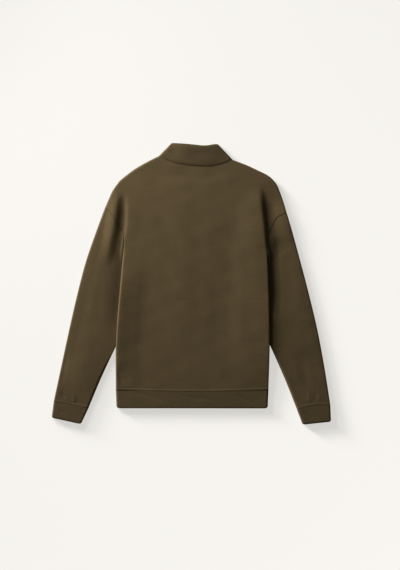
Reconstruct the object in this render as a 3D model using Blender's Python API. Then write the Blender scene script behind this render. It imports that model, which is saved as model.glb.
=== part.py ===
"""A half zip sweatshirt laid flat on its front, with its back up.

Sizes are millimetres, and each mesh is turned to metres as it is made. +X is to the
right of someone who looks down on it, +Y runs from the hem to the collar and +Z is up.
The origin is on the surface it lies on, under the middle of its box. Left and right are
the viewer's.
"""

import math
from collections import namedtuple

import bmesh
import bpy

MM = 0.001

# Cloth
CLOTH = 1.5                # one layer of heavy jersey
BAND = 2.6                 # collar, hem band and cuffs, which are doubled
TAPE = 1.0                 # zip tape
SEAM = 0.3                 # between pieces that are sewn or lie on each other
SPARE = 0.05               # between the back and the layers under it

# Heights of the outer faces above the surface it lies on
MIDDLE = 3.0                                # where an upper and a lower layer meet
TUCK_LOW = CLOTH + SEAM                     # sleeve on the front panel
TUCK_HIGH = 3 * CLOTH + 2 * SEAM            # the same sleeve's upper layer
LAID = 4 * CLOTH + 3 * SEAM + SPARE         # back panel
SLEEVE_LAID = 6.9
BAND_LAID = 7.5

# Widths over which an edge rolls from the upper or the lower face to the middle
ROLL = 9.0
CURL = 4.0
SLEEVE_INNER_ROLL = 6.0
BAND_ROLL = 7.0
BAND_CURL = 3.0
STEEP = 1.7                                 # most that a slanted outline widens a roll

# The raised rim of the body, and where it starts and ends, inward of the side
RIM = 2.4
RIM_FOOT = -18.0
RIM_TOP = 6.0
RIM_CREST_END = 15.0
RIM_END = 75.0
RIM_AT_HEM = 0.35
RIM_FADE = 95.0                             # above the corner of the armhole

# Heights up the body, from the hem seam to the shoulder
HEM_SEAM = -295.0
HEM_SAG = 5.0
SIDE_OPENS = -195.0                         # below this the side seam is closed
SLEEVE_LEAVES = -174.0                      # the sleeve comes out from under the side
SHOULDER = 290.0
ROWS_BELOW = (4, 2, 12)
ROWS_ABOVE = (5, 6)
CORNER_DROP = 22.0                          # over which the armhole's end tucks under

# Neck and collar
NECK_HALF = 103.0
FRONT_NECK_DROP = 91.5
COLLAR_TOP_LEFT = (-56.0, 394.0)
COLLAR_TOP_RIGHT = (75.0, 390.4)
COLLAR_FRONT_DROP = 69.0
COLLAR_ROWS = 5
NECK_ROWS = 3                               # over which the body's rolls narrow to the collar's

# Hem band
HEM_LEFT = (-209.5, -347.0)
HEM_RIGHT = (213.5, -347.5)
HEM_CORNER = 7.0
BAND_ROWS = (0.0, 0.3, 0.62, 0.86, 0.93, 0.98, 1.0)

# Sleeve
SLEEVE_ROWS = 20
SLEEVE_SPREAD = 1.35                        # rows lie closer near the armhole
MOUTH_END = 0.1                             # share of the mouth whose gap widens to the overarm
MOUTH_AWAY = (0.8, -0.6)                    # direction in which that gap opens
MOUTH_TUCKED = 0.6                          # share of the mouth from which it is hidden
MOUTH_FADE = 0.25
MOUTH_BLEND = 0.15
TUCK_START = 30.0                           # outward of the side
TUCK_END = 6.0
LIFT_START = 25.0
LIFT_END = 10.0
CUFF_CORNER = 5.0
BOW_START = 0.7                             # share of the sleeve from which its rows bow

# Zip
ZIP_X = 12.0
ZIP_SLOT = 11.0
ZIP_BOTTOM = 92.0
ZIP_TOP = 320.0
TAPE_WIDTH = 14.0
TAPE_END = 8.0                              # past the bottom of the slot
TAPE_ROWS = 20
TAPE_COLUMNS = 3
TAPE_RISE = (240.0, 256.0)                  # where the tapes leave the front for the collar
PARTING = 1.6                               # of each tape, above the slider
PARTING_LENGTH = 6.0
SLIDER_Y = 308.0
SLIDER_LENGTH = 12.0
SLIDER_WIDTH = 9.2
PLATE = 0.8
POST_WIDTH = 2.2
POST_LENGTH = 4.0
EAR = 0.8
EAR_LENGTH = 2.4
PULL_AXIS_Y = 304.5
PULL_AXIS_Z = 0.9
PULL_WIDTH = 6.2
PULL_LENGTH = 28.0
PULL_THICK = 1.4
PULL_EDGE = 0.5

UP = "up"
DOWN = "down"
ROLL_STEPS = {UP: 4, DOWN: 3}
BODY_SHARES = (0.075, 0.11, 0.15, 0.21, 0.29, 0.38, 0.46, 0.54, 0.62, 0.71, 0.79, 0.85, 0.89, 0.925)
TUBE_SHARES = (0.1, 0.2, 0.3, 0.4, 0.5, 0.6, 0.7, 0.8, 0.9)
NORMAL_STEP = 0.05                          # of a column or a row

Spot = namedtuple("Spot", "y x")
Stitch = namedtuple("Stitch", "y x share")
Fold = namedtuple("Fold", "x0 y0 x1 y1 width height")
Half = namedtuple("Half", "name sign side armhole shoulder outer inner underarm cuff cuff_bow folds")
CuffEnd = namedtuple("CuffEnd", "seam_outer seam_inner end_outer end_inner")

LEFT = Half(
    name="left",
    sign=-1,
    side=(
        Spot(-295, -211.5), Spot(-170, -211.3), Spot(-110, -208), Spot(-60, -203.8),
        Spot(0, -198.6), Spot(56, -193.6), Spot(95, -190.4), Spot(143, -188),
    ),
    armhole=(
        Stitch(143, -188, 0.5),
        Stitch(158.5, -197.6, 0.4),
        Stitch(174, -206.4, 0.3),
        Stitch(194.5, -220.4, 0.15),
        Stitch(208, -231.8, 0.05),
        Stitch(215, -241, 0.0),
    ),
    shoulder=(
        Spot(215, -241), Spot(234, -233), Spot(262, -220), Spot(276, -210.5), Spot(290, -199.5),
        Spot(304, -182.5), Spot(321, -160), Spot(343, -122), Spot(358.5, -91),
    ),
    outer=(
        Spot(215, -241), Spot(150, -265.2), Spot(66, -294.4), Spot(-18, -316.8),
        Spot(-130, -342.6), Spot(-242, -366.7), Spot(-327, -385),
    ),
    inner=(
        Spot(74, -104), Spot(-50, -157), Spot(-174.7, -211.5), Spot(-214, -230.3),
        Spot(-270, -255.8), Spot(-346, -287.5),
    ),
    underarm=Spot(74, -104),
    cuff=CuffEnd((-385, -327), (-287.5, -346), (-391, -373.5), (-309, -391.5)),
    cuff_bow=0.0,
    folds=(
        Fold(-197, 262, -204, 160, 15, -2.2),
        Fold(-207, 150, -217, 70, 13, -0.9),
        Fold(-178, 225, -182, 165, 16, 1.2),
    ),
)

RIGHT = Half(
    name="right",
    sign=1,
    side=(
        Spot(-295, 215.5), Spot(-170, 219), Spot(-50, 217.7),
        Spot(11, 215.7), Spot(84, 212.4), Spot(125, 210.5),
    ),
    armhole=(
        Stitch(125, 210.5, 0.5),
        Stitch(139, 219.5, 0.4),
        Stitch(166, 229, 0.3),
        Stitch(190, 247, 0.1),
        Stitch(194.7, 257, 0.05),
        Stitch(199, 266.5, 0.0),
    ),
    shoulder=(
        Spot(199, 266.5), Spot(220, 260.5), Spot(248, 251.3), Spot(262, 246), Spot(276, 239.8),
        Spot(290, 229.5), Spot(304, 213.8), Spot(321, 180.2), Spot(332, 156.4), Spot(348, 115),
    ),
    outer=(
        Spot(199, 266.5), Spot(150, 281), Spot(66, 304.2), Spot(-18, 326.3),
        Spot(-130, 352.9), Spot(-242, 373.7), Spot(-338, 388.6),
    ),
    inner=(
        Spot(70, 110), Spot(-50, 164.5), Spot(-173.3, 220.5), Spot(-214, 239),
        Spot(-270, 263.3), Spot(-350, 295),
    ),
    underarm=Spot(70, 110),
    cuff=CuffEnd((388.6, -338), (295, -350), (390.5, -384.5), (311, -393)),
    cuff_bow=5.0,
    folds=(
        Fold(204, 258, 214, 150, 15, -2.0),
        Fold(186, 235, 192, 170, 16, 1.0),
    ),
)

HALVES = (LEFT, RIGHT)

BACK_NECK = (
    (0.0, 0.0), (0.07, 8.4), (0.173, 16.4), (0.292, 21.0), (0.395, 23.2), (0.506, 24.4),
    (0.605, 24.4), (0.728, 22.0), (0.839, 16.0), (0.928, 8.8), (1.0, 0.0),
)

COLLAR_DIP = (
    (0.0, 0.0), (0.2, 0.7), (0.36, 1.8), (0.52, 3.4), (0.66, 4.7),
    (0.78, 3.8), (0.87, 1.4), (0.94, 0.0), (1.0, 0.0),
)


def lerp(start, end, share):
    """Value part of the way from start to end."""
    return start + (end - start) * share


def ease(value, start, end):
    """0 at start and 1 at end, with a soft beginning and a soft finish."""
    share = min(max((value - start) / (end - start), 0.0), 1.0)
    return share * share * (3.0 - 2.0 * share)


def arc(share):
    """Rise of a quarter circle at a share of its run."""
    left = 1.0 - min(max(share, 0.0), 1.0)
    return math.sqrt(1.0 - left * left)


def between(points, key):
    """Value at a key on the straight lines through (key, value) points."""
    key = min(max(key, points[0][0]), points[-1][0])
    for low, high in zip(points, points[1:]):
        if key <= high[0]:
            return lerp(low[1], high[1], (key - low[0]) / (high[0] - low[0]))
    return points[-1][1]


def follow(points, key):
    """Value at a key on the smooth curve through (key, value) points."""
    points = sorted(point[:2] for point in points)
    key = min(max(key, points[0][0]), points[-1][0])
    slopes = [(b[1] - a[1]) / (b[0] - a[0]) for a, b in zip(points, points[1:])]
    tangents = [slopes[0]] + [(a + b) / 2 for a, b in zip(slopes, slopes[1:])] + [slopes[-1]]
    for index, (low, high) in enumerate(zip(points, points[1:])):
        if key <= high[0]:
            break
    span = high[0] - low[0]
    t = (key - low[0]) / span
    return (
        (2 * t**3 - 3 * t**2 + 1) * low[1]
        + (t**3 - 2 * t**2 + t) * span * tangents[index]
        + (3 * t**2 - 2 * t**3) * high[1]
        + (t**3 - t**2) * span * tangents[index + 1]
    )


def outward(half, x, y):
    """How far a place lies outside the side of the body."""
    return half.sign * (x - follow(half.side, y))


def below_corner(half, y):
    """0 at the lower corner of the armhole seam, and 1 where the sleeve is fully tucked under."""
    corner = half.armhole[0].y
    return ease(y, corner, corner - CORNER_DROP)


def fold_height(fold, x, y):
    """Height that a fold adds at a place."""
    run = (fold.x1 - fold.x0, fold.y1 - fold.y0)
    length = run[0] ** 2 + run[1] ** 2
    share = ((x - fold.x0) * run[0] + (y - fold.y0) * run[1]) / length
    share = min(max(share, 0.0), 1.0)
    away = math.hypot(x - fold.x0 - share * run[0], y - fold.y0 - share * run[1])
    return fold.height * (0.5 + 0.5 * math.cos(math.pi * min(away / fold.width, 1.0)))


def back_level(x, y):
    """Height of the back panel: flat, with a raised rim and soft folds at each side."""
    level = LAID
    for half in HALVES:
        inward = -outward(half, x, y)
        corner = half.armhole[0].y
        rim = ease(inward, RIM_FOOT, RIM_TOP) * ease(inward, RIM_END, RIM_CREST_END)
        strength = lerp(RIM_AT_HEM, 1.0, ease(y, HEM_SEAM, SLEEVE_LEAVES))
        strength *= 1.0 - ease(y, corner, corner + RIM_FADE)
        level += RIM * rim * strength
        level += sum(fold_height(fold, x, y) for fold in half.folds)
    return level


def neck(face, share):
    """Place on the neck seam: shallow at the back, a half ellipse at the front."""
    left, right = LEFT.shoulder[-1], RIGHT.shoulder[-1]
    if face == UP:
        return lerp(left.x, right.x, share), lerp(left.y, right.y, share) - follow(BACK_NECK, share)
    run = 0.5 - 0.5 * math.cos(math.pi * share)
    drop = FRONT_NECK_DROP * math.sin(math.pi * share)
    return lerp(left.x, right.x, run), lerp(left.y, right.y, run) - drop


def edge_heights(half):
    """Heights along one edge of the body of every row of its panels."""
    marks = [HEM_SEAM, SIDE_OPENS, SLEEVE_LEAVES] + [stitch.y for stitch in half.armhole]
    marks += [SHOULDER, half.shoulder[-1].y]
    counts = list(ROWS_BELOW) + [1] * (len(half.armhole) - 1) + list(ROWS_ABOVE)
    heights = [marks[0]]
    for low, high, count in zip(marks, marks[1:], counts):
        heights += [lerp(low, high, (step + 1) / count) for step in range(count)]
    return list(enumerate(heights))


def edge_x(half, y):
    """Outline of the body at a height: its side, its armhole seam, or its shoulder."""
    if y <= half.armhole[0].y:
        return follow(half.side, y)
    if y < half.armhole[-1].y:
        return between(half.armhole, y)
    return follow(half.shoulder, y)


class Cloth:
    """A piece of laid cloth. Columns cross it from edge to edge, and rows run along it."""

    wall = CLOTH
    shares = TUBE_SHARES
    rows = 1

    def columns(self, face):
        """Number of columns on one face."""
        return 2 * ROLL_STEPS[face] + len(self.shares) + 1

    def crossing(self, face, column, row):
        """Share of the way across, and the rise out of the roll at its two edges."""
        steps = ROLL_STEPS[face]
        near, far = self.rolls(face, row)
        knots = (near, *self.shares, 1.0 - far)
        last = len(knots) - 1
        if column < steps:
            turn = 0.5 * math.pi * column / steps
            return near * (1.0 - math.cos(turn)), math.sin(turn), 1.0
        if column > steps + last:
            turn = 0.5 * math.pi * (2 * steps + last - column) / steps
            return 1.0 - far * (1.0 - math.cos(turn)), 1.0, math.sin(turn)
        knot = min(int(column - steps), last - 1)
        return lerp(knots[knot], knots[knot + 1], column - steps - knot), 1.0, 1.0

    def point(self, face, column, row):
        """Place of the outer face at a column and a row."""
        share, near_rise, far_rise = self.crossing(face, column, row)
        x, y = self.place(face, share, row)
        level = self.level(face, x, y, row)
        near_edge, far_edge = self.edges(face, level, row)
        z = level + (near_edge - level) * (1.0 - near_rise) + (far_edge - level) * (1.0 - far_rise)
        return x, y, z


class Body(Cloth):
    """The back and the front panel, which share one outline."""

    shares = BODY_SHARES

    def __init__(self):
        self.left_rows = edge_heights(LEFT)
        self.right_rows = edge_heights(RIGHT)
        self.rows = len(self.left_rows) - 1
        self.neck_start = self.rows - sum(ROWS_ABOVE)

    def ends(self, row):
        """Heights of a row at the left and the right edge."""
        return between(self.left_rows, row), between(self.right_rows, row)

    def place(self, face, share, row):
        left_y, right_y = self.ends(row)
        bend = min(max((row - self.neck_start) / (self.rows - self.neck_start), 0.0), 1.0)
        neck_x, neck_y = neck(face, share)
        left, right = LEFT.shoulder[-1], RIGHT.shoulder[-1]
        x = lerp(edge_x(LEFT, left_y), edge_x(RIGHT, right_y), share)
        y = lerp(left_y, right_y, share)
        x += bend * (neck_x - lerp(left.x, right.x, share))
        y += bend * (neck_y - lerp(left.y, right.y, share))
        sag = HEM_SAG * math.sin(math.pi * share) * (1.0 - min(row / ROWS_BELOW[0], 1.0))
        return x, y - sag

    def rolls(self, face, row):
        widths = []
        left_y, right_y = self.ends(row)
        across = edge_x(RIGHT, right_y) - edge_x(LEFT, left_y)
        for half, y in ((LEFT, left_y), (RIGHT, right_y)):
            slant = 1.0
            if y >= half.armhole[-1].y:
                rise = (edge_x(half, y) - edge_x(half, y - 1.0)) if y > half.armhole[-1].y + 1.0 else 0.0
                slant = min(math.hypot(1.0, rise), STEEP)
            plain = ROLL if face == UP else CURL
            collar = BAND_ROLL if face == UP else BAND_CURL
            near_neck = ease(row, self.rows - NECK_ROWS, self.rows)
            widths.append(lerp(plain * slant, collar, near_neck) / across)
        return widths

    def level(self, face, x, y, row):
        return back_level(x, y) if face == UP else 0.0

    def edges(self, face, level, row):
        shape = self.back_edge if face == UP else self.front_edge
        left_y, right_y = self.ends(row)
        return shape(LEFT, level, left_y), shape(RIGHT, level, right_y)

    def back_edge(self, half, level, y):
        """Height of the back's edge: low at a seam, on the sleeve where one is tucked in."""
        low = MIDDLE + SEAM / 2
        corner, overarm = half.armhole[0].y, half.armhole[-1].y
        if y >= overarm:
            return low
        if y > corner:
            return lerp(low, level, arc((overarm - y) / ROLL))
        low = lerp(low, TUCK_HIGH + SEAM, ease(y, SIDE_OPENS, SLEEVE_LEAVES))
        return lerp(level, low, below_corner(half, y))

    def front_edge(self, half, level, y):
        """Height of the front's edge: curled up at a seam, flat under the sleeve."""
        curl = MIDDLE - SEAM / 2
        corner, overarm = half.armhole[0].y, half.armhole[-1].y
        if y >= overarm:
            return curl
        if y > corner:
            return curl * (1.0 - arc((overarm - y) / CURL))
        return curl * (1.0 - ease(y, SIDE_OPENS, SLEEVE_LEAVES))


class Sleeve(Cloth):
    """A flattened tube. Its inner wedge is tucked between the front and the back."""

    rows = SLEEVE_ROWS

    def __init__(self, half):
        self.half = half

    def along(self, row):
        """Share of the sleeve's length at a row."""
        return min(max(row / self.rows, 0.0), 1.0) ** SLEEVE_SPREAD

    def sides(self, along):
        """Places of the overarm edge and the underarm edge."""
        outer, inner = self.half.outer, self.half.inner
        outer_y = lerp(outer[0].y, outer[-1].y, along)
        inner_y = lerp(inner[0].y, inner[-1].y, along)
        return (follow(outer, outer_y), outer_y), (follow(inner, inner_y), inner_y)

    def mouth(self, share):
        """Place on the armhole seam, which runs on, hidden, to the underarm."""
        half = self.half
        tuck_y = half.armhole[0].y - CORNER_DROP
        tuck_x = follow(half.side, tuck_y) + half.sign * 2 * SEAM
        path = []
        for stitch in half.armhole:
            gap = SEAM * (1.0 + ease(stitch.share, MOUTH_END, 0.0))
            away_x, away_y = half.sign * MOUTH_AWAY[0] * gap, MOUTH_AWAY[1] * gap
            path.append((stitch.share, stitch.x + away_x, stitch.y + away_y))
        path += [(MOUTH_TUCKED, tuck_x, tuck_y), (1.0, half.underarm.x, half.underarm.y)]
        path.sort()
        return between([(s, x) for s, x, _ in path], share), between([(s, y) for s, _, y in path], share)

    def place(self, face, share, row):
        along = self.along(row)
        outer, inner = self.sides(along)
        top_outer, top_inner = self.sides(0.0)
        mouth = self.mouth(share)
        fade = 1.0 - ease(along, 0.0, MOUTH_FADE)
        bow = self.half.cuff_bow * math.sin(math.pi * share) * ease(along, BOW_START, 1.0)
        x = lerp(outer[0], inner[0], share) + fade * (mouth[0] - lerp(top_outer[0], top_inner[0], share))
        y = lerp(outer[1], inner[1], share) + fade * (mouth[1] - lerp(top_outer[1], top_inner[1], share))
        return x, y + bow

    def tuck(self, x, y, start, end):
        """1 where the sleeve lies under the side of the body, fading to 0 outside it."""
        return ease(outward(self.half, x, y), start, end) * below_corner(self.half, y)

    def inner_tuck(self, row):
        """The same at the underarm edge of a row."""
        inner = self.sides(self.along(row))[1]
        return self.tuck(*inner, TUCK_START, TUCK_END)

    def rolls(self, face, row):
        outer, inner = self.sides(self.along(row))
        across = math.hypot(outer[0] - inner[0], outer[1] - inner[1])
        tight = (TUCK_HIGH - TUCK_LOW) / 2
        free_outer, free_inner = (ROLL, SLEEVE_INNER_ROLL) if face == UP else (CURL, CURL)
        return free_outer / across, lerp(free_inner, tight, self.inner_tuck(row)) / across

    def level(self, face, x, y, row):
        if face == DOWN:
            return TUCK_LOW * self.tuck(x, y, LIFT_START, LIFT_END)
        free = lerp(back_level(x, y), SLEEVE_LAID, ease(self.along(row), 0.0, MOUTH_BLEND))
        return lerp(free, TUCK_HIGH, self.tuck(x, y, TUCK_START, TUCK_END))

    def edges(self, face, level, row):
        return MIDDLE, lerp(MIDDLE, (TUCK_LOW + TUCK_HIGH) / 2, self.inner_tuck(row))


class Band(Cloth):
    """A flattened ring of doubled cloth between a seam and a folded edge."""

    wall = BAND
    rows = len(BAND_ROWS) - 1

    def __init__(self, seam, fold, seam_bow, corner, shares):
        self.seam = seam
        self.fold = fold
        self.seam_bow = seam_bow
        self.corner = corner
        self.shares = shares

    def place(self, face, share, row):
        down = between(list(enumerate(BAND_ROWS)), row)
        (sx0, sy0), (sx1, sy1) = self.seam
        (fx0, fy0), (fx1, fy1) = self.fold
        height = math.hypot(sx0 - fx0, sy0 - fy0)
        width = math.hypot(fx1 - fx0, fy1 - fy0)
        inset = self.corner * (1.0 - arc(height * (1.0 - down) / self.corner)) / width
        share = lerp(inset, 1.0 - inset, share)
        gap = SEAM * (1.0 - down)
        bow = self.seam_bow * math.sin(math.pi * share) * (1.0 - down)
        x = lerp(lerp(sx0, sx1, share), lerp(fx0, fx1, share), down)
        y = lerp(lerp(sy0, sy1, share), lerp(fy0, fy1, share), down)
        return x, y + bow - gap

    def rolls(self, face, row):
        (x0, y0), (x1, y1) = self.seam
        width = BAND_ROLL if face == UP else BAND_CURL
        return [width / math.hypot(x1 - x0, y1 - y0)] * 2

    def level(self, face, x, y, row):
        return BAND_LAID if face == UP else 0.0

    def edges(self, face, level, row):
        return MIDDLE, MIDDLE


class Collar(Cloth):
    """A doubled strip round the neck, folded flat at both sides and open at the zip."""

    wall = BAND
    shares = BODY_SHARES
    rows = COLLAR_ROWS

    def top(self, face, share):
        """Place on the collar's top edge."""
        (x0, y0), (x1, y1) = COLLAR_TOP_LEFT, COLLAR_TOP_RIGHT
        if face == UP:
            return lerp(x0, x1, share), lerp(y0, y1, share) - follow(COLLAR_DIP, share)
        run = 0.5 - 0.5 * math.cos(math.pi * share)
        return lerp(x0, x1, run), lerp(y0, y1, run) - COLLAR_FRONT_DROP * math.sin(math.pi * share)

    def place(self, face, share, row):
        low, high = neck(face, share), self.top(face, share)
        gap = SEAM / math.dist(low, high)
        up = lerp(gap, 1.0, row / self.rows)
        return lerp(low[0], high[0], up), lerp(low[1], high[1], up)

    def rolls(self, face, row):
        width = BAND_ROLL if face == UP else BAND_CURL
        return [width / (2 * NECK_HALF)] * 2

    def level(self, face, x, y, row):
        return BAND_LAID if face == UP else 0.0

    def edges(self, face, level, row):
        return MIDDLE, MIDDLE

    def half_columns(self):
        """Number of columns from the zip to a fold on the lower face."""
        return ROLL_STEPS[DOWN] + len(self.shares) // 2 + 1

    def strip_point(self, column, row):
        """Place on the whole strip, from one side of the zip round to the other."""
        half, back = self.half_columns(), self.columns(UP)
        if column <= half:
            return self.zip_side(half - column, row, -1)
        if column <= half + back:
            return self.point(UP, column - half, row)
        return self.zip_side(column - half - back, row, 1)

    def zip_side(self, column, row, sign):
        """Place on the lower face, counted from a fold, and ending at the zip."""
        total = self.columns(DOWN)
        last = self.half_columns() - 1
        edge_x = ZIP_X + sign * ZIP_SLOT / 2
        if column <= last:
            return self.point(DOWN, column if sign < 0 else total - column, row)
        inner = self.point(DOWN, last if sign < 0 else total - last, row)
        beyond = self.point(DOWN, last + 1 if sign < 0 else total - last - 1, row)
        share = (edge_x - inner[0]) / (beyond[0] - inner[0]) * (column - last)
        return tuple(lerp(a, b, share) for a, b in zip(inner, beyond))


class Tape(Cloth):
    """One tape of the zip, inside the front, with its toothed edge in the slot."""

    wall = TAPE
    rows = TAPE_ROWS

    def __init__(self, sign):
        self.sign = sign

    def strip_point(self, column, row):
        """Place on the tape's lower face, from its toothed edge outward."""
        y = lerp(ZIP_BOTTOM - TAPE_END, ZIP_TOP, row / self.rows)
        parting = SEAM / 2 + PARTING * ease(y, SLIDER_Y - PARTING_LENGTH, SLIDER_Y)
        across = lerp(parting, TAPE_WIDTH, column / TAPE_COLUMNS)
        low = lerp(CLOTH, BAND, ease(y, *TAPE_RISE)) + SEAM
        return ZIP_X + self.sign * across, y, low


def normal(point, column, row, columns, rows, closed):
    """Unit normal of the face that point describes, from small steps along it."""
    if closed:
        before, after = (column - NORMAL_STEP) % columns, (column + NORMAL_STEP) % columns
    else:
        before, after = max(column - NORMAL_STEP, 0.0), min(column + NORMAL_STEP, columns)
    under, over = max(row - NORMAL_STEP, 0.0), min(row + NORMAL_STEP, rows)
    a = [q - p for p, q in zip(point(before, row), point(after, row))]
    b = [q - p for p, q in zip(point(column, under), point(column, over))]
    cross = (a[1] * b[2] - a[2] * b[1], a[2] * b[0] - a[0] * b[2], a[0] * b[1] - a[1] * b[0])
    size = math.hypot(*cross)
    return [value / size for value in cross]


def make_wall(name, point, columns, rows, wall, closed, probe, facing, material):
    """Build a closed wall of cloth from its outer face.

    point gives a place on the outer face at a column and a row, probe is a column on the
    part of it that faces up (facing 1) or down (facing -1), and closed joins the last
    column to the first.
    """
    turn = facing if normal(point, probe, rows / 2, columns, rows, closed)[2] > 0 else -facing
    mesh = bmesh.new()
    rims = {}
    for side in (0, 1):
        grid = bmesh.ops.create_grid(mesh, x_segments=columns, y_segments=rows, size=1.0)["verts"]
        welds = []
        ends = ([], [])
        for vert in grid:
            column = round((vert.co.x + 1.0) / 2.0 * columns)
            row = round((vert.co.y + 1.0) / 2.0 * rows)
            place = point(column % columns if closed else column, row)
            if side:
                away = normal(point, column % columns if closed else column, row, columns, rows, closed)
                place = [p - turn * n * wall for p, n in zip(place, away)]
            vert.co = place
            if closed and column in (0, columns):
                welds.append(vert)
            if row in (0, rows):
                ends[row // rows].append(vert)
        rims[side] = [set(end) for end in ends]
        if closed:
            bmesh.ops.remove_doubles(mesh, verts=welds, dist=0.001)
    if closed:
        for end in (0, 1):
            rim = [vert for side in (0, 1) for vert in rims[side][end] if vert.is_valid]
            edges = [edge for edge in mesh.edges if edge.is_boundary and all(v in rim for v in edge.verts)]
            bmesh.ops.bridge_loops(mesh, edges=edges)
    else:
        bmesh.ops.bridge_loops(mesh, edges=[edge for edge in mesh.edges if edge.is_boundary])
    bmesh.ops.recalc_face_normals(mesh, faces=mesh.faces)
    return make_object(name, mesh, material)


def make_object(name, mesh, material):
    """Turn a mesh in millimetres into a named object in metres."""
    bmesh.ops.scale(mesh, vec=(MM, MM, MM), verts=mesh.verts)
    data = bpy.data.meshes.new(name)
    mesh.to_mesh(data)
    mesh.free()
    data.materials.append(material)
    data.shade_smooth()
    data.set_sharp_from_angle(angle=math.radians(40))
    thing = bpy.data.objects.new(name, data)
    PARTS.objects.link(thing)
    return thing


def make_tube(name, piece, material):
    """Build a flattened tube: its upper face from near to far, its lower face back again."""
    up, down = piece.columns(UP), piece.columns(DOWN)

    def point(column, row):
        if column <= up:
            return piece.point(UP, column, row)
        return piece.point(DOWN, up + down - column, row)

    return make_wall(name, point, up + down, piece.rows, piece.wall, True, up / 2, 1, material)


def make_panel(name, piece, face, material):
    """Build one face of the body as a panel of its own."""
    facing = 1 if face == UP else -1
    columns = piece.columns(face)

    def point(column, row):
        return piece.point(face, column, row)

    return make_wall(name, point, columns, piece.rows, piece.wall, False, columns / 2, facing, material)


def make_strip(name, piece, columns, probe, facing, material):
    """Build an open strip, such as the collar or a zip tape."""
    return make_wall(name, piece.strip_point, columns, piece.rows, piece.wall, False, probe, facing, material)


def make_box(name, size, place, material, edge=0.0):
    """Build a box of a given size round a place, with its edges rounded where edge is set."""
    mesh = bmesh.new()
    bmesh.ops.create_cube(mesh, size=1.0)
    bmesh.ops.scale(mesh, vec=size, verts=mesh.verts)
    if edge:
        edges = list(mesh.edges)
        bmesh.ops.bevel(mesh, geom=edges, offset=edge, segments=2, profile=0.5, affect="EDGES")
    thing = make_object(name, mesh, material)
    thing.location = [value * MM for value in place]
    return thing


def join(thing, others):
    """Fuse other boxes into a thing."""
    for other in others:
        fuse = thing.modifiers.new("Fuse " + other.name, "BOOLEAN")
        fuse.operation = "UNION"
        fuse.object = other
        hide(other)


def hide(thing):
    """Keep a cutter or a helper out of the finished object."""
    thing.hide_render = True
    thing.display_type = "WIRE"
    PARTS.objects.unlink(thing)
    CUTTERS.objects.link(thing)


def make_material(name, colour, roughness, metallic):
    """Make a plain Principled material."""
    material = bpy.data.materials.new(name)
    material.use_nodes = True
    shader = material.node_tree.nodes["Principled BSDF"]
    shader.inputs["Base Color"].default_value = (*colour, 1.0)
    shader.inputs["Roughness"].default_value = roughness
    shader.inputs["Metallic"].default_value = metallic
    return material


def make_body(jersey):
    """Build the two panels, and cut the slot for the zip into the front."""
    body = Body()
    make_panel("back", body, UP, jersey)
    front = make_panel("front", body, DOWN, jersey)
    length = LEFT.shoulder[-1].y - ZIP_BOTTOM
    middle = (ZIP_X, ZIP_BOTTOM + length / 2, 0.0)
    cutter = make_box("zip slot cutter", (ZIP_SLOT, length, 8 * CLOTH), middle, jersey)
    slot = front.modifiers.new("Zip slot", "BOOLEAN")
    slot.object = cutter
    hide(cutter)


def make_sleeves(jersey, rib):
    """Build both sleeves and their cuffs."""
    for half in HALVES:
        make_tube("sleeve_" + half.name, Sleeve(half), jersey)
        end = half.cuff
        cuff = Band(
            (end.seam_outer, end.seam_inner),
            (end.end_outer, end.end_inner),
            half.cuff_bow,
            CUFF_CORNER,
            TUBE_SHARES,
        )
        make_tube("cuff_" + half.name, cuff, rib)


def make_hem(rib):
    """Build the hem band."""
    seam = ((LEFT.side[0].x, HEM_SEAM), (RIGHT.side[0].x, HEM_SEAM))
    make_tube("hem_band", Band(seam, (HEM_LEFT, HEM_RIGHT), -HEM_SAG, HEM_CORNER, BODY_SHARES), rib)


def make_collar(rib):
    """Build the collar."""
    collar = Collar()
    columns = 2 * collar.half_columns() + collar.columns(UP)
    make_strip("collar", collar, columns, columns / 2, 1, rib)


def make_zip(tape, metal):
    """Build the two tapes, the slider between them and its pull tab."""
    for name, sign in (("zip_tape_left", -1), ("zip_tape_right", 1)):
        make_strip(name, Tape(sign), TAPE_COLUMNS, TAPE_COLUMNS / 2, -1, tape)
    low = BAND + SEAM
    outer_z = low - SEAM - PLATE / 2
    inner_z = low + TAPE + SEAM + PLATE / 2
    plate = (SLIDER_WIDTH, SLIDER_LENGTH, PLATE)
    slider = make_box("zip_slider", plate, (ZIP_X, SLIDER_Y, outer_z), metal)
    post_y = SLIDER_Y + SLIDER_LENGTH / 2 - POST_LENGTH / 2
    post_size = (POST_WIDTH, POST_LENGTH, inner_z - outer_z)
    post = make_box("post", post_size, (ZIP_X, post_y, (inner_z + outer_z) / 2), metal)
    cover = make_box("inner plate", plate, (ZIP_X, SLIDER_Y, inner_z), metal)
    ears = []
    for sign in (-1, 1):
        ear_x = ZIP_X + sign * (PULL_WIDTH / 2 + SEAM + EAR / 2)
        ear_low = PULL_AXIS_Z - PULL_THICK / 2
        ear_size = (EAR, EAR_LENGTH, outer_z - ear_low)
        ears.append(make_box(f"ear {sign}", ear_size, (ear_x, PULL_AXIS_Y, (outer_z + ear_low) / 2), metal))
    join(slider, [post, cover, *ears])
    pull_size = (PULL_WIDTH, PULL_LENGTH, PULL_THICK)
    pull = make_box("zip_pull", pull_size, (ZIP_X, PULL_AXIS_Y, PULL_AXIS_Z), metal, PULL_EDGE)
    reach = (PULL_LENGTH - PULL_THICK) / 2 * MM
    for vert in pull.data.vertices:
        vert.co.y -= reach


for old in list(bpy.data.objects):
    bpy.data.objects.remove(old)

PARTS = bpy.data.collections.new("Half zip sweatshirt")
CUTTERS = bpy.data.collections.new("Cutters")
bpy.context.scene.collection.children.link(PARTS)
bpy.context.scene.collection.children.link(CUTTERS)

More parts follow.
